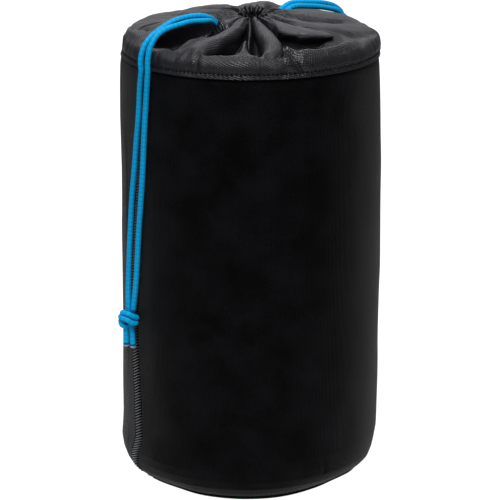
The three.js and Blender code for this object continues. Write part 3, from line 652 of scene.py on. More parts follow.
# slit, then the pocket between the lip and the rim
line([(60, 12.6), (58, 14.2), (56, 15.6), (54, 16.8), (50, 18.2), (44, 19.2), (36, 19.8), (27, 19.6), (20, 18.8), (13, 17.4), (11, 16.6)], [(60, -0.9), (58, -1.6), (56, -3.0), (53, -5.5), (48, -9.0), (43, -11.0), (36, -10.5), (27, -8.0), (20, -6.5), (11, -5.0)], first=True)
pocket_line([(60, 14.4), (58, 15.8), (56, 16.8), (54, 18.0), (50, 20.0), (44, 21.0), (36, 21.4), (27, 21.6), (20, 21.4), (11, 20.4)], 55.0, 34.5, 10.5, (0.2, 1.0, 1.5), [(26, -1.6), (20, -1.6), (11, -1.6)])
pocket_line([(60, 17.4), (58, 17.6), (56, 18.2), (54, 19.0), (50, 21.2), (44, 22.6), (36, 23.6), (27, 24.0), (20, 24.0), (11, 22.6)], 54.8, 36.6, 10.5, (0.6, 1.2, 1.7), [(26, -0.2), (20, -0.2), (11, -0.4)])
pocket_line([(60, 20.2), (54, 20.8), (50, 22.6), (44, 24.6), (36, 26.2), (27, 26.8), (20, 27.0), (11, 25.0)], 55.6, 38.4, 10.5, (-0.8, -0.5, -0.4), [(26, 0.5), (20, 0.5), (11, 0.1)])
pocket_line([(60, 24.0), (50, 26.0), (43, 28.0), (38, 29.0), (27, 29.6), (20, 29.8), (11, 29.0)], 56.2, 40.2, 10.5, (0.0, 0.4, 0.6), [(26, 0.7), (20, 0.6), (11, 0.1)])
pocket_line([(60, 31), (50, 32.4), (43, 34), (38, 33.4), (33, 32.4), (27, 32.2), (20, 32), (11, 32)], 56.6, 42.6, 10.5, (0.1, 0.6, 0.8), [(26, 0.6), (20, 0.4), (11, -0.2)])
pocket_line([(60, 38.5), (50, 39.6), (45, 40.4), (40, 39), (36, 37), (31, 35.6), (27, 34.6), (20, 34), (11, 35.4)], 56.4, 45.0, 10.0, (0.1, 0.6, 0.7), [(26, 0.3), (20, -0.2), (11, -0.8)])
pocket_line([(60, 45.5), (50, 46), (47, 46.2), (44, 45.5), (40, 43.5), (37, 41.5), (31, 37.8), (27, 36.2), (20, 35.5), (11, 38)], 55.6, 47.2, 8.0, (0.1, 0.6, 0.6), [(26, -0.2), (20, -1.0), (11, -1.4)])
pocket_line([(60, 51), (52, 51), (48, 50), (44, 48), (40, 45.8), (37, 43.8), (31, 39.2), (27, 37.8), (20, 37), (11, 40)], 54.6, 48.8, 3.4, (0.1, 0.5, 0.5), [(26, -0.8), (20, -1.6), (11, -1.8)])
line([(60, 56.5), (54, 57), (51, 56), (48, 54), (44, 51.2), (40, 48.2), (37, 46), (31, 40.8), (27, 39.2), (21, 38.2), (11, 42.4)], [(60, 0.1), (56, 0.4), (53, 0.1), (50, 0.2), (46, 0.5), (42, 0.5), (37, 0.3), (31, -0.6), (27, -1.6), (21, -2.4), (16, -2.6), (11, -2.4)])
# broad right pleat, creased against the lip and where it meets the rim
line([(60, 62), (57, 63.5), (54, 64.5), (51, 63), (48, 59.5), (44.6, 55.5), (41, 52), (37, 48.3), (34, 45), (31, 42.4), (27, 40.6), (21, 39.4), (16, 41), (11, 45)], [(60, 0.1), (57, -0.5), (54, -1.6), (51, -2.0), (48, -2.0), (44, -2.0), (40, -2.2), (36, -2.5), (31, -3.0), (27, -4.0), (21, -4.6), (16, -4.6), (11, -4.4)], first=True)
line([(60, 69.5), (54, 69.5), (48, 66), (44, 63), (37, 57), (31, 52), (27, 50.5), (21, 50), (16, 53), (11, 58)], [(60, 0.1), (58, -0.1), (56, -1.0), (54, -1.1), (51, 0.2), (48, 0.5), (42, 0.6), (36, 0.5), (31, 0.2), (27, -0.2), (21, -1.0), (16, -1.6), (11, -1.6)])
line([(60, 78), (54, 77.5), (48, 74.5), (44, 71.5), (37, 65), (31, 60), (27, 58.5), (21, 58), (16, 62), (11, 69)], [(60, 0.7), (58, -0.4), (57, -0.8), (55, 0.1), (51, 0.6), (42, 0.6), (36, 0.4), (30, 0.2), (24, 0.0), (20, 0.0), (11, 0.0)])
line([(60, 87), (54, 86), (48, 83), (42, 78), (37, 73), (31, 68), (27, 66), (21, 66), (16, 71), (11, 79)], [(60, 0.1), (58.6, -0.5), (57, 0.2), (50, 0.3), (44, 0.1), (38, -0.5), (30, -0.7), (24, -0.6), (20, -0.4), (11, -0.3)])
# dark gap behind it
line([(60, 94), (50, 91), (42, 86), (33, 80), (24, 78), (20, 79), (11, 88)], [(60, 0.3), (55, 0.0), (48, -0.8), (42, -1.8), (37, -3.0), (33, -3.2), (24, -2.8), (20, -2.2), (11, -2.6)], first=True)
line([(60, 103), (50, 98), (42, 93), (33, 90), (24, 91), (18, 94), (11, 99)], [(60, -0.5), (55, -0.9), (47, -2.0), (42, -4.5), (38, -6.5), (30, -6.5), (24, -6.0), (18, -5.0), (11, -3.5)])
line([(60, 112), (50, 105), (42, 97.5), (33, 94.5), (24, 96.5), (18, 101), (11, 109)], [(60, -0.4), (55, -0.5), (47, -0.6), (38, -1.0), (30, -1.0), (24, -0.9), (18, -0.9), (11, -1.5)])
# ridge under the rear cord
line([(60, 120), (42, 116), (30, 113), (11, 121)], [(60, -0.2), (55, 0.0), (47, 0.3), (38, 0.5), (30, 0.6), (24, 0.5), (18, 0.3), (11, -1.0)], first=True)
line([(60, 127), (11, 128)], [(60, 0.1), (55, 0.0), (47, -0.9), (38, -1.1), (30, -1.1), (22, -0.9), (15, -0.2), (11, 0.0)])
line([(60, 134), (11, 134)], [(60, 0.1), (55, 0.0), (47, -1.0), (38, -1.3), (30, -1.3), (22, -1.1), (15, -0.2), (11, 0.0)])
line([(60, 145), (11, 144)], [(60, -0.3), (50, -0.2), (40, -0.3), (30, -0.5), (20, -0.8), (11, -1.2)])
# rear: softer pleats
for v, crests, deep, hump in ((156, (167, 180), 1.0, 1.0), (192, (203, 215), 1.1, 0.2)):
    line(v, [(60, -0.4), (50, -1.0 * deep), (40, -1.9 * deep), (30, -2.8 * deep), (20, -3.8), (11, -4.5)], first=True)
    line(crests[0], [(60, 0.0), (50, 0.4 * hump), (40, 1.2 * hump), (30, 1.3 * hump), (20, 0.6 * hump), (11, 0.0)])
    line(crests[1], [(60, 0.1), (50, 0.2 * hump), (40, 0.4 * hump), (30, 0.4 * hump), (20, 0.0), (11, -0.2)])
line(226, [(60, -0.6), (50, -1.4), (40, -2.0), (30, -2.6), (20, -3.6), (11, -4.4)], first=True)
line(234, [(60, -0.2), (50, -0.2), (40, -0.1), (30, 0.0), (20, 0.0), (11, 0.0)])
line(243, [(60, 0.6), (50, 0.4), (40, -0.1), (30, -0.2), (20, -0.2), (11, -0.2)])
line(252, [(60, 0.6), (50, 0.2), (40, -1.2), (30, -2.0), (20, -2.8), (11, -4.0)], first=True)
line([(60, 261), (11, 259)], [(60, 1.1), (58.4, 0.3), (56.4, 0.7), (50, -0.5), (40, -1.8), (30, -2.0), (20, -1.4), (11, -0.6)])
line([(60, 270), (11, 266)], [(60, 1.1), (58, 0.9), (56, -0.5), (54, 0.2), (50, -0.1), (40, -0.8), (30, -0.8), (20, -0.6), (11, -0.4)])

GATHER = np.array([1.4, 0.0])  # the gathered mouth sits a little off the axis
BAND = [(205.0, 61.3), (207.2, 60.95), (209.2, 61.2), (211.2, 61.0), (212.8, 60.4)]  # height and radius of the lapped band
band_noise, band_noise2 = Noise(21, 256), Noise(22, 256)
STITCHES, STITCH_Z = 186, 207.3  # round the band


def control_net():
    net = []
    for beta, dz, dr, _ in lines:
        rows = []
        rim = at(beta, 60)
        lift = at(dz, 59.7)
        drawn = 1.7 * bump((rim + 90 + 180) % 360 - 180, 0, 24)
        roll = 1.3 * bump((rim + 6 + 180) % 360 - 180, 0, 24)
        for z, r in BAND:
            rows.append(polar(rim, r - drawn * smooth(z, 203, 209) - roll * smooth(z, 212, 215), z + lift * smooth(z, 208, 214)))
        for r in RL:
            p = polar(at(beta, r), r + at(dr, r) - drawn * smooth(r, 55.5, 59.6) - roll * smooth(r, 54, 59.6), at(CREST, r) + at(dz, r))
            p[:2] += GATHER * (1 - smooth(r, 10, 58))
            rows.append(p)
        # the mouth: drawn in by the cord, then the hem's edge, which stands up behind
        b = at(beta, 11)
        back = 0.5 - 0.5 * math.cos(math.radians(b - 8))
        low = at(dz, 11) * 0.35
        for r, z in ((9.2, 223.3 + low), (7.0, 222.6 + 0.6 * low), (5.4, 222.1), (4.9, 222.3 + 0.5 * back), (5.3 + 0.7 * back, 222.5 + 1.7 * back), (6.1 + 1.0 * back, 222.6 + 2.7 * back)):
            p = polar(b, r, z)
            p[:2] += GATHER
            rows.append(p)
        net.append(rows)
    return np.array(net)


def threaded(p, counts, periodic):
    """Points on a smooth curve through p[0], p[1] ..., each a row of points; counts[k] samples from k to k + 1."""
    n = len(p)
    out = []
    for k in range(n if periodic else n - 1):
        if periodic:
            a, b, c, d = (p[(k + o) % n] for o in (-1, 0, 1, 2))
        else:
            b, c = p[k], p[k + 1]
            a = p[k - 1] if k > 0 else 2 * b - c
            d = p[k + 2] if k + 2 < n else 2 * c - b
        h = [np.maximum(np.linalg.norm(y - x, axis=-1, keepdims=True), 1e-3) ** 0.5 for x, y in ((a, b), (b, c), (c, d))]
        t0, t1 = 0.0, h[0]
        t2 = t1 + h[1]
        t3 = t2 + h[2]
        for f in np.arange(counts[k]) / counts[k]:
            t = t1 + f * (t2 - t1)
            a1 = (t1 - t) / (t1 - t0) * a + (t - t0) / (t1 - t0) * b
            a2 = (t2 - t) / (t2 - t1) * b + (t - t1) / (t2 - t1) * c
            a3 = (t3 - t) / (t3 - t2) * c + (t - t2) / (t3 - t2) * d
            b1 = (t2 - t) / (t2 - t0) * a1 + (t - t0) / (t2 - t0) * a2
            b2 = (t3 - t) / (t3 - t1) * a2 + (t - t1) / (t3 - t1) * a3
            out.append((t2 - t) / (t2 - t1) * b1 + (t - t1) / (t2 - t1) * b2)
    if not periodic:
        out.append(p[-1])
    return np.array(out)


net = control_net()
NB, NP = len(BAND), len(RL)
gap = np.linalg.norm(np.roll(net, -1, 0) - net, axis=2)
UK = np.concatenate([[0], np.cumsum(0.7 * gap[:, NB : NB + 14].mean(1) + 0.3 * gap[:, 2])])
TK = np.concatenate([[0], np.cumsum(np.linalg.norm(np.diff(net, axis=1), axis=2).mean(0))])
ucount = [max(3, int(math.ceil((UK[k + 1] - UK[k]) / 0.6 * FINE))) for k in range(len(lines))]
tcount = [max(2, int(math.ceil((TK[k + 1] - TK[k]) / 0.55 * FINE))) for k in range(net.shape[1] - 1)]
starts = np.concatenate([[0], np.cumsum(ucount)])
rows_at = np.concatenate([[0], np.cumsum(tcount)])
us = np.concatenate([UK[k] + (UK[k + 1] - UK[k]) * np.arange(c) / c for k, c in enumerate(ucount)])
ts = np.append(np.concatenate([TK[k] + (TK[k + 1] - TK[k]) * np.arange(c) / c for k, c in enumerate(tcount)]), TK[-1])
along = threaded(net.transpose(1, 0, 2), tcount, False)  # [t, line, 3]
cloth = threaded(along.transpose(1, 0, 2), ucount, True)  # [u, t, 3]
print("collar grid", cloth.shape, "cloth round", UK[-1], "cloth deep", TK[-1])


def relax_collar(p):
    """Folds and small wrinkles of the cloth on top of the lofted shape."""
    n = grid_normals(p, True)
    if n[..., 2].mean() < 0:
        n = -n
    xy = p[..., :2] - GATHER
    r = np.hypot(xy[..., 0], xy[..., 1])
    b = np.degrees(np.arctan2(xy[..., 0], -xy[..., 1]))
    t = ts[None, :] + 0 * r
    turn = (us[:, None] + 0 * r) / UK[-1]
    hem = smooth(t, TK[NB + NP - 1], TK[NB + NP + 2])
    near = smooth(-r, -30, -13) * (1 - hem)
    # pucker lines that run out from the gathers
    d = near * (0.34 * band_noise(turn * 128, t / 18) + 0.24 * band_noise2(turn * 256, t / 12))
    # ruffles of the hem
    phase = np.radians(b) * 15 + 2.2 * band_noise(turn * 16, 0.5)
    size = 0.8 + 0.4 * band_noise2(turn * 32, 3.5)
    back = 0.5 - 0.5 * np.cos(np.radians(b - 8))
    d = d + hem * (0.75 + 0.65 * back) * size * np.sin(phase)
    # soft creases
    body = smooth(t, TK[3], TK[NB + 1]) * (1 - hem)
    d = d + body * (0.27 * band_noise(turn * 64, t / 7.5) + 0.15 * band_noise2(turn * 128, t / 4.5))
    # band: drawn in at the stitches, rippled between them
    band = (1 - smooth(t, TK[4], TK[NB + 1])) * smooth(t, 0, 3.4)
    d = d + band * (0.30 * band_noise(turn * 96, t / 14) + 0.2 * band_noise2(turn * 192, t / 7))
    sunk = 0.5 + 0.5 * np.cos(2 * math.pi * (b + 180) / 360 * STITCHES)
    d = d - bump(p[..., 2], STITCH_Z, 0.75) * (t < TK[4]) * (0.38 * sunk - 0.15)
    p = p + n * d[..., None]
    # creases that run down from the notches in the rim
    rim = np.degrees(np.arctan2(p[..., 0], -p[..., 1]))
    z = p[..., 2]
    pinch = 0 * z
    for b0, lean, w, a, z0 in CREASES:
        delta = (rim - (b0 + lean * (213.5 - z)) + 180) % 360 - 180
        pinch += a * bump(delta, 0, w) * smooth(z, z0, z0 + 4.0)
    pinch *= 1 - smooth(t, TK[NB + 1], TK[NB + 3])
    return p - polar(rim, 1.0, 0.0) * pinch[..., None]


# azimuth at the rim, lean towards the stitches, width, depth, lower end
CREASES = [(-23.4, 0.05, 0.9, 1.0, 206.3), (-20.9, 0.05, 1.0, -0.45, 207.5), (18.9, 0.62, 1.0, 1.5, 205.8), (15.6, 0.5, 1.6, -0.7, 206.8), (23.6, 0.3, 1.6, -0.5, 207.0), (-44.5, 0.2, 1.3, 0.6, 207.0), (-36.0, -0.2, 2.2, 0.5, 209.0), (8.5, 0.3, 1.0, 0.6, 207.8), (2.6, 0.0, 0.9, 0.35, 208.5), (-13.0, 0.1, 1.2, 0.35, 208.0), (35.0, 0.2, 1.5, 0.4, 207.5), (53.0, 0.2, 1.8, 0.4, 207.5), (70.0, 0.3, 1.6, 0.4, 207.5), (-58.0, 0.1, 1.4, 0.4, 207.5), (-70.0, -0.2, 1.5, 0.35, 207.5), (140.0, 0, 1.6, 0.6, 207.5), (196.0, 0.1, 1.5, 0.5, 207.5), (228.0, -0.2, 1.4, 0.5, 207.5), (-104.0, 0.1, 1.5, 0.5, 207.5), (96.0, 0, 1.6, 0.4, 207.5)]
cloth = relax_collar(cloth)
cloth_n = grid_normals(cloth, True)
if cloth_n[..., 2].mean() < 0:
    cloth_n = -cloth_n
CLOTH = 0.36
under = cloth - cloth_n * CLOTH
split = rows_at[NB] + 1
cu_all = np.append(us, UK[-1])
band_ob = shell("collar_band_cloth", cloth[:, : split + 1], under[:, : split + 1], WOVEN, True, cu=us * (2 * math.pi * 61 / UK[-1]), cv=ts[: split + 1], normals=cloth_n[:, : split + 1])
put(band_ob, "root", "collar_cloth", "collar_band")
first_lines = [k for k in range(len(lines)) if lines[k][3]] + [len(lines)]
HINGE_R, HINGE_Z = 57.9, 213.3
pleat_edges = []
for k in range(12):
    i0, i1 = starts[first_lines[k]], starts[first_lines[k + 1]]
    cols = np.arange(i0, i1 + 1) % len(us)
    top, bot, nor = (a[cols][:, split:] for a in (cloth, under, cloth_n))
    # the weave keeps its true scale, so it is laid out by the lengths along and across the folds
    across = np.concatenate([np.zeros((1, top.shape[1])), np.cumsum(np.linalg.norm(np.diff(top, axis=0), axis=2), axis=0)])
    across = across - across[len(across) // 2]
    ob = shell(f"collar_pleat_cloth_{k + 1:02d}", top, bot, WOVEN, False, cu=across, cv=ts[split:], normals=nor)
    v0, v1 = VALLEYS[k], (VALLEYS + [278])[k + 1]
    mid, half = (v0 + v1) / 2, (v1 - v0) / 2
    ap = HINGE_R * math.cos(math.radians(half))
    polar(mid, ap + 2.0, HINGE_Z) * MM
    polar(mid, ap - 3.2, HINGE_Z) * MM
    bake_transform(ob)
    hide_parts(f"collar_pleat_{k + 1:02d}")
    pleat_edges.append((top[0], bot[0]))


# ---------------------------------------------------------------- sewing
flat_cloth, flat_cloth_n = cloth[:, rows_at[NB] :].reshape(-1, 3), cloth_n[:, rows_at[NB] :].reshape(-1, 3)


def on_cloth(p, lift):
    """The points of a line laid on the collar's upper side."""
    out = []
    for x in p:
        i = int(np.argmin(((flat_cloth - x) ** 2).sum(1)))
        n = flat_cloth_n[i]
        out.append(x - n * float((x - flat_cloth[i]) @ n) + n * lift)
    return np.array(out)


# stitch row round the band
b_step = 360 / STITCHES
stitches = []
band_r = cloth[:, : rows_at[4]]
band_az = np.degrees(np.arctan2(band_r[..., 0], -band_r[..., 1]))
band_rad = np.hypot(band_r[..., 0], band_r[..., 1])
near_row = np.argmin(np.abs(band_r[..., 2] - STITCH_Z), axis=1)
ring_az, ring_r = band_az[np.arange(len(band_az)), near_row], band_rad[np.arange(len(band_az)), near_row]
order = np.argsort(ring_az)
for k in range(STITCHES):
    b = -180 + k * b_step + b_step * np.linspace(-0.27, 0.27, 6)
    r = np.interp((b + 180) % 360 - 180, ring_az[order], ring_r[order], period=360)
    stitches.append(polar(b, r + 0.08 + 0.1 * np.array([-1.6, 0.3, 1, 1, 0.3, -1.6]), STITCH_Z + 0.12 * math.sin(k * 2.4)))
put(many_tubes("band_stitches", stitches, 0.33, THREAD, 6), "root", "thread", "collar_seam_thread")

# flat seam at the side: slanted threads across it, and the needle's lines at both sides
across, needle = [], []
for z in np.arange(4.0, 203.0, 1.4):
    s = np.linspace(-2.9, 2.9, 7)
    zz = z + 1.5 * s / 2.9
    b = seam_azimuth(zz) + np.degrees(s / 61)
    across.append(polar(b, wall_radius(b, zz) + 0.20, zz))
    for side in (-3.3, 3.3):
        zz = z + 1.5 * side / 2.9 + np.linspace(-0.28, 0.28, 5)
        b = seam_azimuth(zz) + np.degrees(side / 61)
        needle.append(polar(b, wall_radius(b, zz) + 0.12, zz))
put(many_tubes("side_seam_threads", across, 0.29, SEAM_THREAD, 6), "root", "thread", "side_seam_thread")
put(many_tubes("side_seam_needle_lines", needle, 0.4, THREAD, 5), "root", "thread", "side_seam_thread")

# a dark strip under those threads: painted shade in the gap between the butted edges
zs, ss = np.linspace(4.0, 203.0, int(200 * FINE)), np.linspace(-3.5, 3.5, 15)
S, Z = np.meshgrid(ss, zs, indexing="ij")
B = seam_azimuth(Z) + np.degrees(S / 61)
put(shell("side_seam_painted_shade", polar(B, wall_radius(B, Z) + 0.06, Z), polar(B, wall_radius(B, Z) - 0.2, Z), KNIT_PAINTED_SHADE, False, cu=ss, cv=zs), "root", "knit_facing", "wall_facing")

# whipped edge where the base and the wall join
whip = []
for b in np.arange(0, 360, 2.4):
    foot = float(wall_radius(b, 1.2)) - 51.9
    whip.append(np.array([polar(b, 53.2 + foot, 2.2), polar(b + 0.5, 53.7 + foot, 2.8), polar(b + 1.0, float(wall_radius(b + 1.0, 3.4)) - 0.05, 3.4), polar(b + 1.4, float(wall_radius(b + 1.4, 4.1)) - 0.1, 4.1)]))
put(many_tubes("base_seam_threads", whip, 0.18, THREAD, 5), "root", "thread", "base_seam_thread")

# rows of stitches on the collar: the cord channel's
channel = {k: [] for k in range(12)}
for k in range(12):
    i0, i1 = starts[first_lines[k]], starts[first_lines[k + 1]]
    row = int(np.interp(17.2, [r for r in RL[::-1]], [rows_at[NB + j] for j in range(NP)][::-1]))
    path = cloth[np.arange(i0 + 1, i1) % len(us), row]
    nor = cloth_n[np.arange(i0 + 1, i1) % len(us), row]
    s = np.concatenate([[0], np.cumsum(np.linalg.norm(np.diff(path, axis=0), axis=1))])
    for a in np.arange(0.6, s[-1] - 1.2, 2.1):
        q = np.linspace(a, a + 1.25, 5)
        p = np.stack([np.interp(q, s, path[:, c]) for c in range(3)], -1)
        n = np.stack([np.interp(q, s, nor[:, c]) for c in range(3)], -1)
        channel[k].append(p + n * np.array([-0.12, 0.06, 0.1, 0.06, -0.12])[:, None])
for k, group in channel.items():
    if group:
        put(many_tubes(f"channel_stitches_{k + 1:02d}", group, 0.2, THREAD, 5), f"collar_pleat_{k + 1:02d}", "thread")

# sewn buttonholes for the cords
for side, body, centre, along_ in (("front", "collar_pleat_02", [-16.2, -16.2, 223.0], [0.62, -0.78]), ("rear", "collar_pleat_08", [15.6, 16.8, 223.4], [0.72, -0.69])):
    c = np.array(centre, float)
    t = np.array([*along_, 0.0])
    o = np.array([-t[1], t[0], 0.0])
    ring = []
    for a in np.linspace(0, 2 * math.pi, 30, endpoint=False):
        d = t * math.cos(a) * 1.7 + o * math.sin(a) * 1.1
        ring.append(on_cloth([c + d * f for f in (0.95, 1.12, 1.3, 1.46)], 0.10))
    put(many_tubes(f"{side}_buttonhole_stitches", ring, 0.16, THREAD, 5), body, "thread", f"{side}_buttonhole")

# cloth tucked under between the pleats: it is cut so that it closes the gap between them when the mouth is open
HINGES = {j["child"]: j for j in frame["joints"] if j["child"].startswith("collar_")}


def hinge(body):
    """The turn of a pleat or a tuck at the end of its range, and a point on its axis."""
    j = HINGES[body]
    x, y, z = unit(np.array(j["axis"], float))
    w = math.radians(j["range_deg"][1])
    k = np.array([[0, -z, y], [z, 0, -x], [-y, x, 0]])
    return np.eye(3) + math.sin(w) * k + (1 - math.cos(w)) * k @ k, np.array(j["pos_m"], float) / MM


def opened(p, pleat):
    m, c = hinge(pleat)
    return (p - c) @ m.T + c


def folded(p, pleat, tuck):
    for body in (pleat, tuck):
        m, c = hinge(body)
        p = (p - c) @ m + c
    return p


roof = under[::3, split : rows_at[NB + NP - 1] : 2].reshape(-1, 3)
inner = rows_at[NB + NP - 1]
for k in range(12):
    i0 = starts[first_lines[k]]
    edge = 0.5 * (cloth[i0, split:inner] + under[i0, split:inner])
    edge = edge[np.hypot(edge[:, 0], edge[:, 1]) < 57.4]
    n = max(16, int(56 * FINE))
    edge = edge[np.linspace(0, len(edge) - 1, n).round().astype(int)]
    pleat, tuck = f"collar_pleat_{k + 1:02d}", f"collar_tuck_{k + 1:02d}"
    first, last = opened(edge, pleat), opened(edge, f"collar_pleat_{(k - 1) % 12 + 1:02d}")
    wide = np.linalg.norm(last - first, axis=1)
    rows = int(18 * FINE) + 2
    g = np.linspace(-0.03, 1.03, rows)
    f = np.linspace(0, 1, n)
    wav = Noise(40 + k)
    inward = -polar(VALLEYS[k], 1.0, 0.0)
    sheet = first[:, None] * (1 - g)[None, :, None] + last[:, None] * g[None, :, None]
    sag = wide[:, None] * (0.16 * np.clip(np.sin(math.pi * g), 0, 1)[None, :] + 0.05 * np.sin(math.pi * np.clip(g, 0, 1))[None, :] * wav(g[None, :] * 5, f[:, None] * 2))
    sheet = sheet + inward * (0.45 + sag)[..., None]
    sheet = folded(sheet, pleat, tuck)
    flat = sheet.reshape(-1, 3)
    for i, x in enumerate(flat):
        d = (roof[:, 0] - x[0]) ** 2 + (roof[:, 1] - x[1]) ** 2
        near = d < max(2.6, d.min() + 0.1)
        flat[i, 2] = min(x[2], max(roof[near, 2].min() - 0.8, 209.5))
    sheet = flat.reshape(sheet.shape)
    nor = grid_normals(sheet)
    cu = np.concatenate([[0], np.cumsum(np.linalg.norm(np.diff(edge, axis=0), axis=1))])
    cv = np.linspace(0, float(wide.mean()), rows)
    ob = shell(f"collar_tuck_cloth_{k + 1:02d}", sheet + nor * 0.17, sheet - nor * 0.17, WOVEN, False, cu=cu, cv=cv)
    put(ob, tuck, "collar_cloth", tuck)
    deep = float(wide.max()) * 1.06

# underside of the hem, which makes the channel that the cord runs in
for k in range(12):
    i0, i1 = starts[first_lines[k]], starts[first_lines[k + 1]]
    cols = np.arange(i0, i1 + 1) % len(us)
    out_row, in_row = int(np.interp(14.6, RL[::-1], [rows_at[NB + j] for j in range(NP)][::-1])), rows_at[NB + NP + 2]
    a, b = under[cols, out_row], under[cols, in_row]
    g = np.linspace(0, 1, max(6, int(14 * FINE)))
    hem_p = a[:, None] * (1 - g)[None, :, None] + b[:, None] * g[None, :, None]
    floor_z = 218.1
    dip = np.clip(np.sin(math.pi * g), 0, 1) ** 0.6
    hem_p[..., 2] = hem_p[..., 2] * (1 - dip)[None, :] + np.minimum(hem_p[..., 2], floor_z) * dip[None, :]
    nor = grid_normals(hem_p)
    ob = shell(f"collar_hem_underside_{k + 1:02d}", hem_p + nor * 0.15, hem_p - nor * 0.15, WOVEN, False, cu=us[cols] * 0.2, cv=g * 10.0)
    put(ob, f"collar_pleat_{k + 1:02d}", "collar_cloth", f"collar_pleat_{k + 1:02d}")


# ---------------------------------------------------------------- camera, light and floor
SWEEP = 330.0  # half width of the white paper the pouch stands on


def look():
    cam = bpy.data.cameras.new("camera")
    cam.sensor_width = 36.0
    cam.lens = 2488.9 / 500 * 36
    cam.clip_start, cam.clip_end = 0.05, 30
    ob = bpy.data.objects.new("camera", cam)
    bpy.context.scene.collection.objects.link(ob)
    ob.location = (0, -1.150, 0.4429)
    ob.rotation_euler = (math.radians(90 - 16.229), 0, 0)
    bpy.context.scene.camera = ob
    sc = bpy.context.scene
    sc.view_settings.view_transform = "Standard"
    sc.view_settings.look = "None"
    world = bpy.data.worlds.new("studio")
    sc.world = world
    world.use_nodes = True
    world.node_tree.nodes["Background"].inputs[0].default_value = (0.98, 0.98, 1.03, 1)
    world.node_tree.nodes["Background"].inputs[1].default_value = 0.32
    m, nt, bsdf = material("floor_white", (0.9, 0.9, 0.9), 0.9, 0.1)
    tone = spread(nt, node(nt, "ShaderNodeTexCoord").outputs["Object"], 3.0)
    nt.links.new(ramp(nt, tone, [(0.3, (0.14, 0.14, 0.14)), (0.7, (0.16, 0.16, 0.16))]), bsdf.inputs["Base Color"])
    sweep = [[-SWEEP, -300.0, -0.6], [SWEEP, -300.0, -0.6], [SWEEP, 2600.0, -0.6], [-SWEEP, 2600.0, -0.6]]
    floor = build("paper_sweep", sweep, [[0, 1, 2, 3]], m)
    nt.links.new(ramp(nt, tone, [(0.3, (0.99, 0.99, 0.99)), (0.7, (1.0, 1.0, 1.0))]), bsdf.inputs["Emission Color"])
    bsdf.inputs["Emission Strength"].default_value = 1.02
    mt, ntt, bt = material("table_dark", (0.1, 0.1, 0.1), 0.9, 0.1)
    tone = spread(ntt, node(ntt, "ShaderNodeTexCoord").outputs["Object"], 3.0)
    ntt.links.new(ramp(ntt, tone, [(0.3, (0.09, 0.09, 0.09)), (0.7, (0.11, 0.11, 0.11))]), bt.inputs["Base Color"])
    table = build("table", [[-6000, -6000, -2], [6000, -6000, -2], [6000, 6000, -2], [-6000, 6000, -2]], [[0, 1, 2, 3]], mt)
    # black cards in front keep the near side dark, as in a light tent with an opening
    mb, ntb, bb = material("black_card", (0.01, 0.01, 0.01), 0.9, 0.0)
    tone = spread(ntb, node(ntb, "ShaderNodeTexCoord").outputs["Object"], 3.0)
    ntb.links.new(ramp(ntb, tone, [(0.3, (0.008, 0.008, 0.008)), (0.7, (0.012, 0.012, 0.012))]), bb.inputs["Base Color"])
    b = np.linspace(-118, 72, 60)
    z = np.linspace(60, 1500, 12)
    B, Z = np.meshgrid(b, z, indexing="ij")
    p = polar(B, 2000.0, Z)
    q, _, _ = grid_faces(60, 12)
    card = build("black_card", p.reshape(-1, 3), q, mb)
    card.visible_camera = False
    for name, size, watts, place, tilt in (("softbox_top", (0.8, 0.5), 24, (-0.1, -0.7, 1.3), 31), ("softbox_back", (1.6, 0.8), 10, (0.0, 1.25, 1.2), -34)):
        lamp = bpy.data.lights.new(name, "AREA")
        lamp.shape, lamp.size, lamp.size_y = "RECTANGLE", *size
        lamp.energy = watts
        lamp.color = (0.975, 0.975, 1.03)
        lo = bpy.data.objects.new(name, lamp)
        sc.collection.objects.link(lo)
        lo.location = place
        lo.rotation_euler = (math.radians(tilt), 0, 0)


look()


# ---------------------------------------------------------------- drawcords
D = 2.6
OVER = {
    "front_a": [[-15.8, -14.8, 222.2], [-17.2, -16.6, 223.8], [-19.0, -19.2, 225.3], [-21.9, -21.8, 226.5], [-25.4, -24.3, 227.0], [-29.1, -26.7, 226.9], [-32.7, -29.2, 226.4], [-36.4, -31.6, 225.2], [-39.5, -33.7, 223.6], [-42.4, -35.6, 221.9], [-45.1, -37.4, 219.8], [-47.0, -38.7, 217.6], [-48.4, -39.6, 215.0], [-49.3, -40.2, 212.1], [-49.7, -40.5, 208.7], [-49.4, -40.5, 204.8]],
    "front_b": [[-16.0, -15.8, 221.4], [-17.5, -18.2, 223.1], [-19.0, -21.4, 224.1], [-21.2, -25.2, 224.8], [-24.3, -27.6, 225.2], [-27.8, -30.1, 225.3], [-31.4, -32.8, 224.8], [-35.0, -35.4, 224.2], [-38.4, -37.8, 223.3], [-41.1, -39.8, 221.9], [-43.0, -41.1, 220.1], [-44.4, -42.2, 217.8], [-45.4, -42.9, 215.5], [-46.0, -43.4, 212.6], [-46.4, -43.6, 209.3], [-46.4, -43.8, 204.8]],
    "rear_a": [[13.5, 15.5, 221.2], [16.4, 18.0, 223.5], [19.6, 21.0, 224.6], [23.9, 24.8, 224.3], [28.8, 29.1, 223.5], [33.7, 33.5, 222.5], [37.7, 37.1, 221.2], [40.7, 39.7, 219.7], [42.7, 41.5, 218.0], [44.2, 42.9, 216.1], polar(134.2, 62.7, 212.9).tolist(), polar(134.2, 63.6, 209.0).tolist(), polar(134.3, 63.8, 204.8).tolist()],
    "rear_b": [[16.0, 14.8, 220.6], [18.6, 17.2, 222.6], [21.6, 19.8, 223.3], [25.6, 23.4, 222.7], [30.4, 27.5, 221.8], [35.0, 31.6, 220.6], [38.9, 35.0, 219.3], [42.0, 37.8, 217.9], polar(132.0, 59.7, 215.7).tolist(), polar(131.0, 62.4, 212.9).tolist(), polar(130.4, 63.6, 209.2).tolist(), polar(130.3, 63.8, 204.8).tolist()],
}


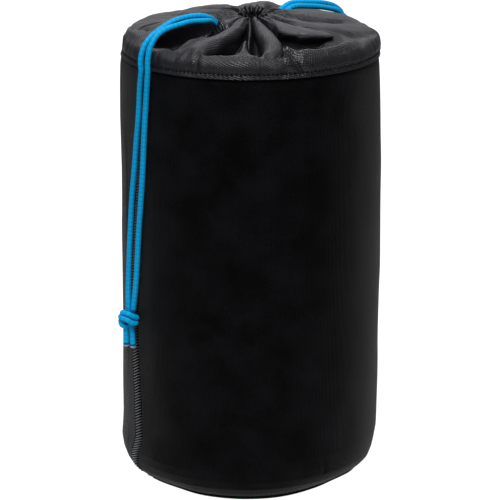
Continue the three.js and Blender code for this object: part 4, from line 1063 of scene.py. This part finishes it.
def drift(points, by):
    """The hanging strands lean a little to the right towards the knot."""
    return [[x + by * float(smooth(-z, -140, -95)), y, z] for x, y, z in points]


HANG = {
    "front_a": drift([[-49.4, -40.5, 204.8], [-50.1, -39.2, 198.2], [-50.5, -38.2, 192.5], [-51.3, -37.0, 181.0], [-52.4, -35.6, 169.3], [-53.4, -34.6, 157.6], [-54.6, -33.3, 145.5], [-55.5, -32.5, 133.4], [-56.4, -31.9, 121.3], [-57.3, -31.6, 108.9], [-57.9, -31.9, 96.8], [-57.9, -32.8, 89.2]], 0.7),
    "front_b": drift([[-46.4, -43.8, 204.8], [-46.8, -43.0, 199.1], [-47.2, -42.1, 193.4], [-48.0, -41.2, 182.1], [-48.7, -40.5, 170.6], [-49.3, -39.9, 159.2], [-50.1, -39.1, 147.4], [-51.1, -38.2, 135.4], [-52.3, -37.1, 123.0], [-53.4, -36.3, 110.8], [-54.7, -35.5, 98.5], [-55.85, -34.4, 89.2]], 0.95),
    "rear_a": polar(*np.array([[134.3, 63.8, 204.8], [135.4, 63.5, 195], [136.9, 63.3, 180], [138.4, 63.4, 165], [140.4, 63.8, 145], [142.3, 64.4, 125], [143.9, 65.3, 105], [144.6, 66.3, 89.2]], float).T).tolist(),
    "rear_b": polar(*np.array([[130.3, 63.8, 204.8], [131.1, 63.5, 195], [132.3, 63.3, 180], [133.6, 63.4, 165], [135.6, 63.7, 145], [137.9, 64.2, 125], [140.1, 65, 105], [142.5, 66.3, 89.2]], float).T).tolist(),
}
KNOT = {"front": np.array([-57.1, -33.8, 84.4]), "rear": polar(143.6, 66.9, 84.4)}
SWING = {"front": ([-47.9, -42.15, 204.8], (0.06911, -0.10788, 0.99176)), "rear": (polar(132.3, 63.8, 204.8).tolist(), (0.08204, -0.07069, 0.99412))}
PITCH = 0.66  # of the braid's yarns along the cord


def yarns(phase):
    """How far the braid's yarns stand out, 0 between them and 1 on them."""

    def f(a, s):
        k = 2 * math.pi / PITCH
        return np.abs(np.sin((8 * a + k * s) / 2 + phase) * np.sin((8 * a - k * s) / 2 - phase)) ** 0.8

    return f


def braid(phase):
    y = yarns(phase)
    return lambda a, s: 0.085 * y(a, s) - 0.05


def cord_piece(name, p, radius, phase, caps, tip=None, singed=None):
    none = lambda a, s: 0 * a + 0 * s
    return tube(name, p, radius, CORDM, SIDES, braid(phase), caps=caps, attribute={"yarn": yarns(phase), "tip": tip or none, "singed": singed or none})


SIDES = 24 if FINE == 1 else 12
STEP = 0.2 / FINE if FINE == 1 else 0.5
hang_pieces = {}
for side in ("front", "rear"):
    for s in "ab":
        key = f"{side}_{s}"
        p, q = resample(OVER[key], STEP)
        over = cord_piece(f"{side}_over_strand_{s}", p, D / 2, 0.4 if s == "a" else 1.3, (0.5, 0.15))
        az = float(np.degrees(np.arctan2(p[-1][0], -p[-1][1])))
        (polar(az, 55.0, 218.0) * MM).tolist()
        (polar(az, 62.6, 211.5) * MM).tolist()
        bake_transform(over)
        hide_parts(f"{side}_cord_over_{s}")
        if s == "a":
            # the cord's run inside the hem, one length in each pleat it passes
            for k in ((11, 0, 1, 2, 3, 4) if side == "front" else (5, 6, 7, 8, 9, 10)):
                v0, v1 = VALLEYS[k], (VALLEYS + [278])[k + 1]
                arc = polar(np.linspace(v0 + 0.3 * (v1 - v0), v1 - 0.3 * (v1 - v0), 12), 8.4, 220.2)
                arc[:, :2] += GATHER
                piece = cord_piece(f"{side}_cord_in_hem_{k + 1:02d}", arc, D / 2 * 0.8, 0.2, (0.4, 0.4))
                put(piece, f"collar_pleat_{k + 1:02d}", "drawcord", f"{side}_cord_loop")
        p, q = resample(HANG[key], STEP)
        hang = cord_piece(f"{side}_hang_strand_{s}", p, D / 2, 0.4 if s == "a" else 1.3, (0.15, 0.15))
        put(hang, f"{side}_tail", "drawcord", f"{side}_cord_hang_{s}")
        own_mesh(hang)
        hang_pieces[key] = (hang, p, float(q[-1]))

# two cords tied together in a doubled overhand knot; right, away from the front and up from its middle
STRAND_A = [(-0.1, 0.6, 4.8), (0.1, 0.9, 2.6), (0.2, 0.9, 0.0), (0.0, 0.6, -2.2), (-1.0, -0.6, -3.3), (-2.9, -1.1, -2.9), (-3.7, -0.2, -1.2), (-2.6, 2.0, 0.2), (0.0, 2.9, 0.6), (2.7, 2.0, 0.4), (3.8, 0.2, 0.2), (2.6, -1.8, 1.4), (0.6, -2.5, 2.7), (-1.6, -1.8, 3.1), (-2.9, -0.2, 2.9), (-1.8, 1.7, 2.6), (0.0, 2.0, 2.2), (0.9, 0.6, 1.2), (0.9, 0.2, -1.5), (1.2, 0.2, -4.0)]
STRAND_B = [(2.2, 0.6, 4.8), (1.7, 1.0, 2.8), (1.4, 1.2, 0.4), (0.8, 1.2, -1.6), (2.4, 1.6, -2.0), (3.4, -0.4, -1.9), (1.8, -2.4, -1.4), (-0.6, -3.0, 0.2), (-3.3, -1.4, 0.8), (-3.7, 0.9, 0.9), (-1.6, 2.6, 0.0), (0.2, 2.4, -1.2), (-0.6, 0.6, -2.0), (-1.3, 0.2, -4.0)]
ENDS = {"a": [(1.2, 0.2, -4.0), (1.45, 0.1, -6.4), (1.65, 0.0, -10.0), (1.9, 0.0, -14.0)], "b": [(-1.3, 0.2, -4.0), (-1.4, 0.1, -6.4), (-1.35, 0.0, -9.6), (-1.35, 0.0, -13.3)]}
for side, way in (("front", 1.0), ("rear", -1.0)):
    c = KNOT[side]
    turn = np.array([way, way, 1.0])
    for s, strand in (("a", STRAND_A), ("b", STRAND_B)):
        path = [c + np.array(x) * turn for x in strand]
        path[0] = np.array(HANG[f"{side}_{s}"][-1])
        q, _ = resample(path, STEP)
        kn = cord_piece(f"{side}_knot_strand_{s}", q, D / 2 * 0.97, 0.4, (0.15, 0.15))
        put(kn, f"{side}_knot", "drawcord", f"{side}_knot")
        q, l = resample([c + np.array(x) * turn for x in ENDS[s]], STEP)
        total = l[-1]
        rad = D / 2 * (1 + 0.08 * smooth(l, total - 2.0, total - 0.9) - 0.06 * smooth(l, total - 0.6, total))
        en = cord_piece(f"{side}_cut_end_{s}", q, rad, 1.1, (0.15, 0.25), tip=lambda a, x, n=total: smooth(x + 0 * a, n - 0.75, n - 0.45), singed=lambda a, x, n=total: smooth(x + 0 * a, n - 1.9, n - 1.4))
        put(en, f"{side}_knot", "drawcord", f"{side}_cord_end_{s}")
    for i, s in enumerate("ab"):
        ob, p, length = hang_pieces[f"{side}_{s}"]
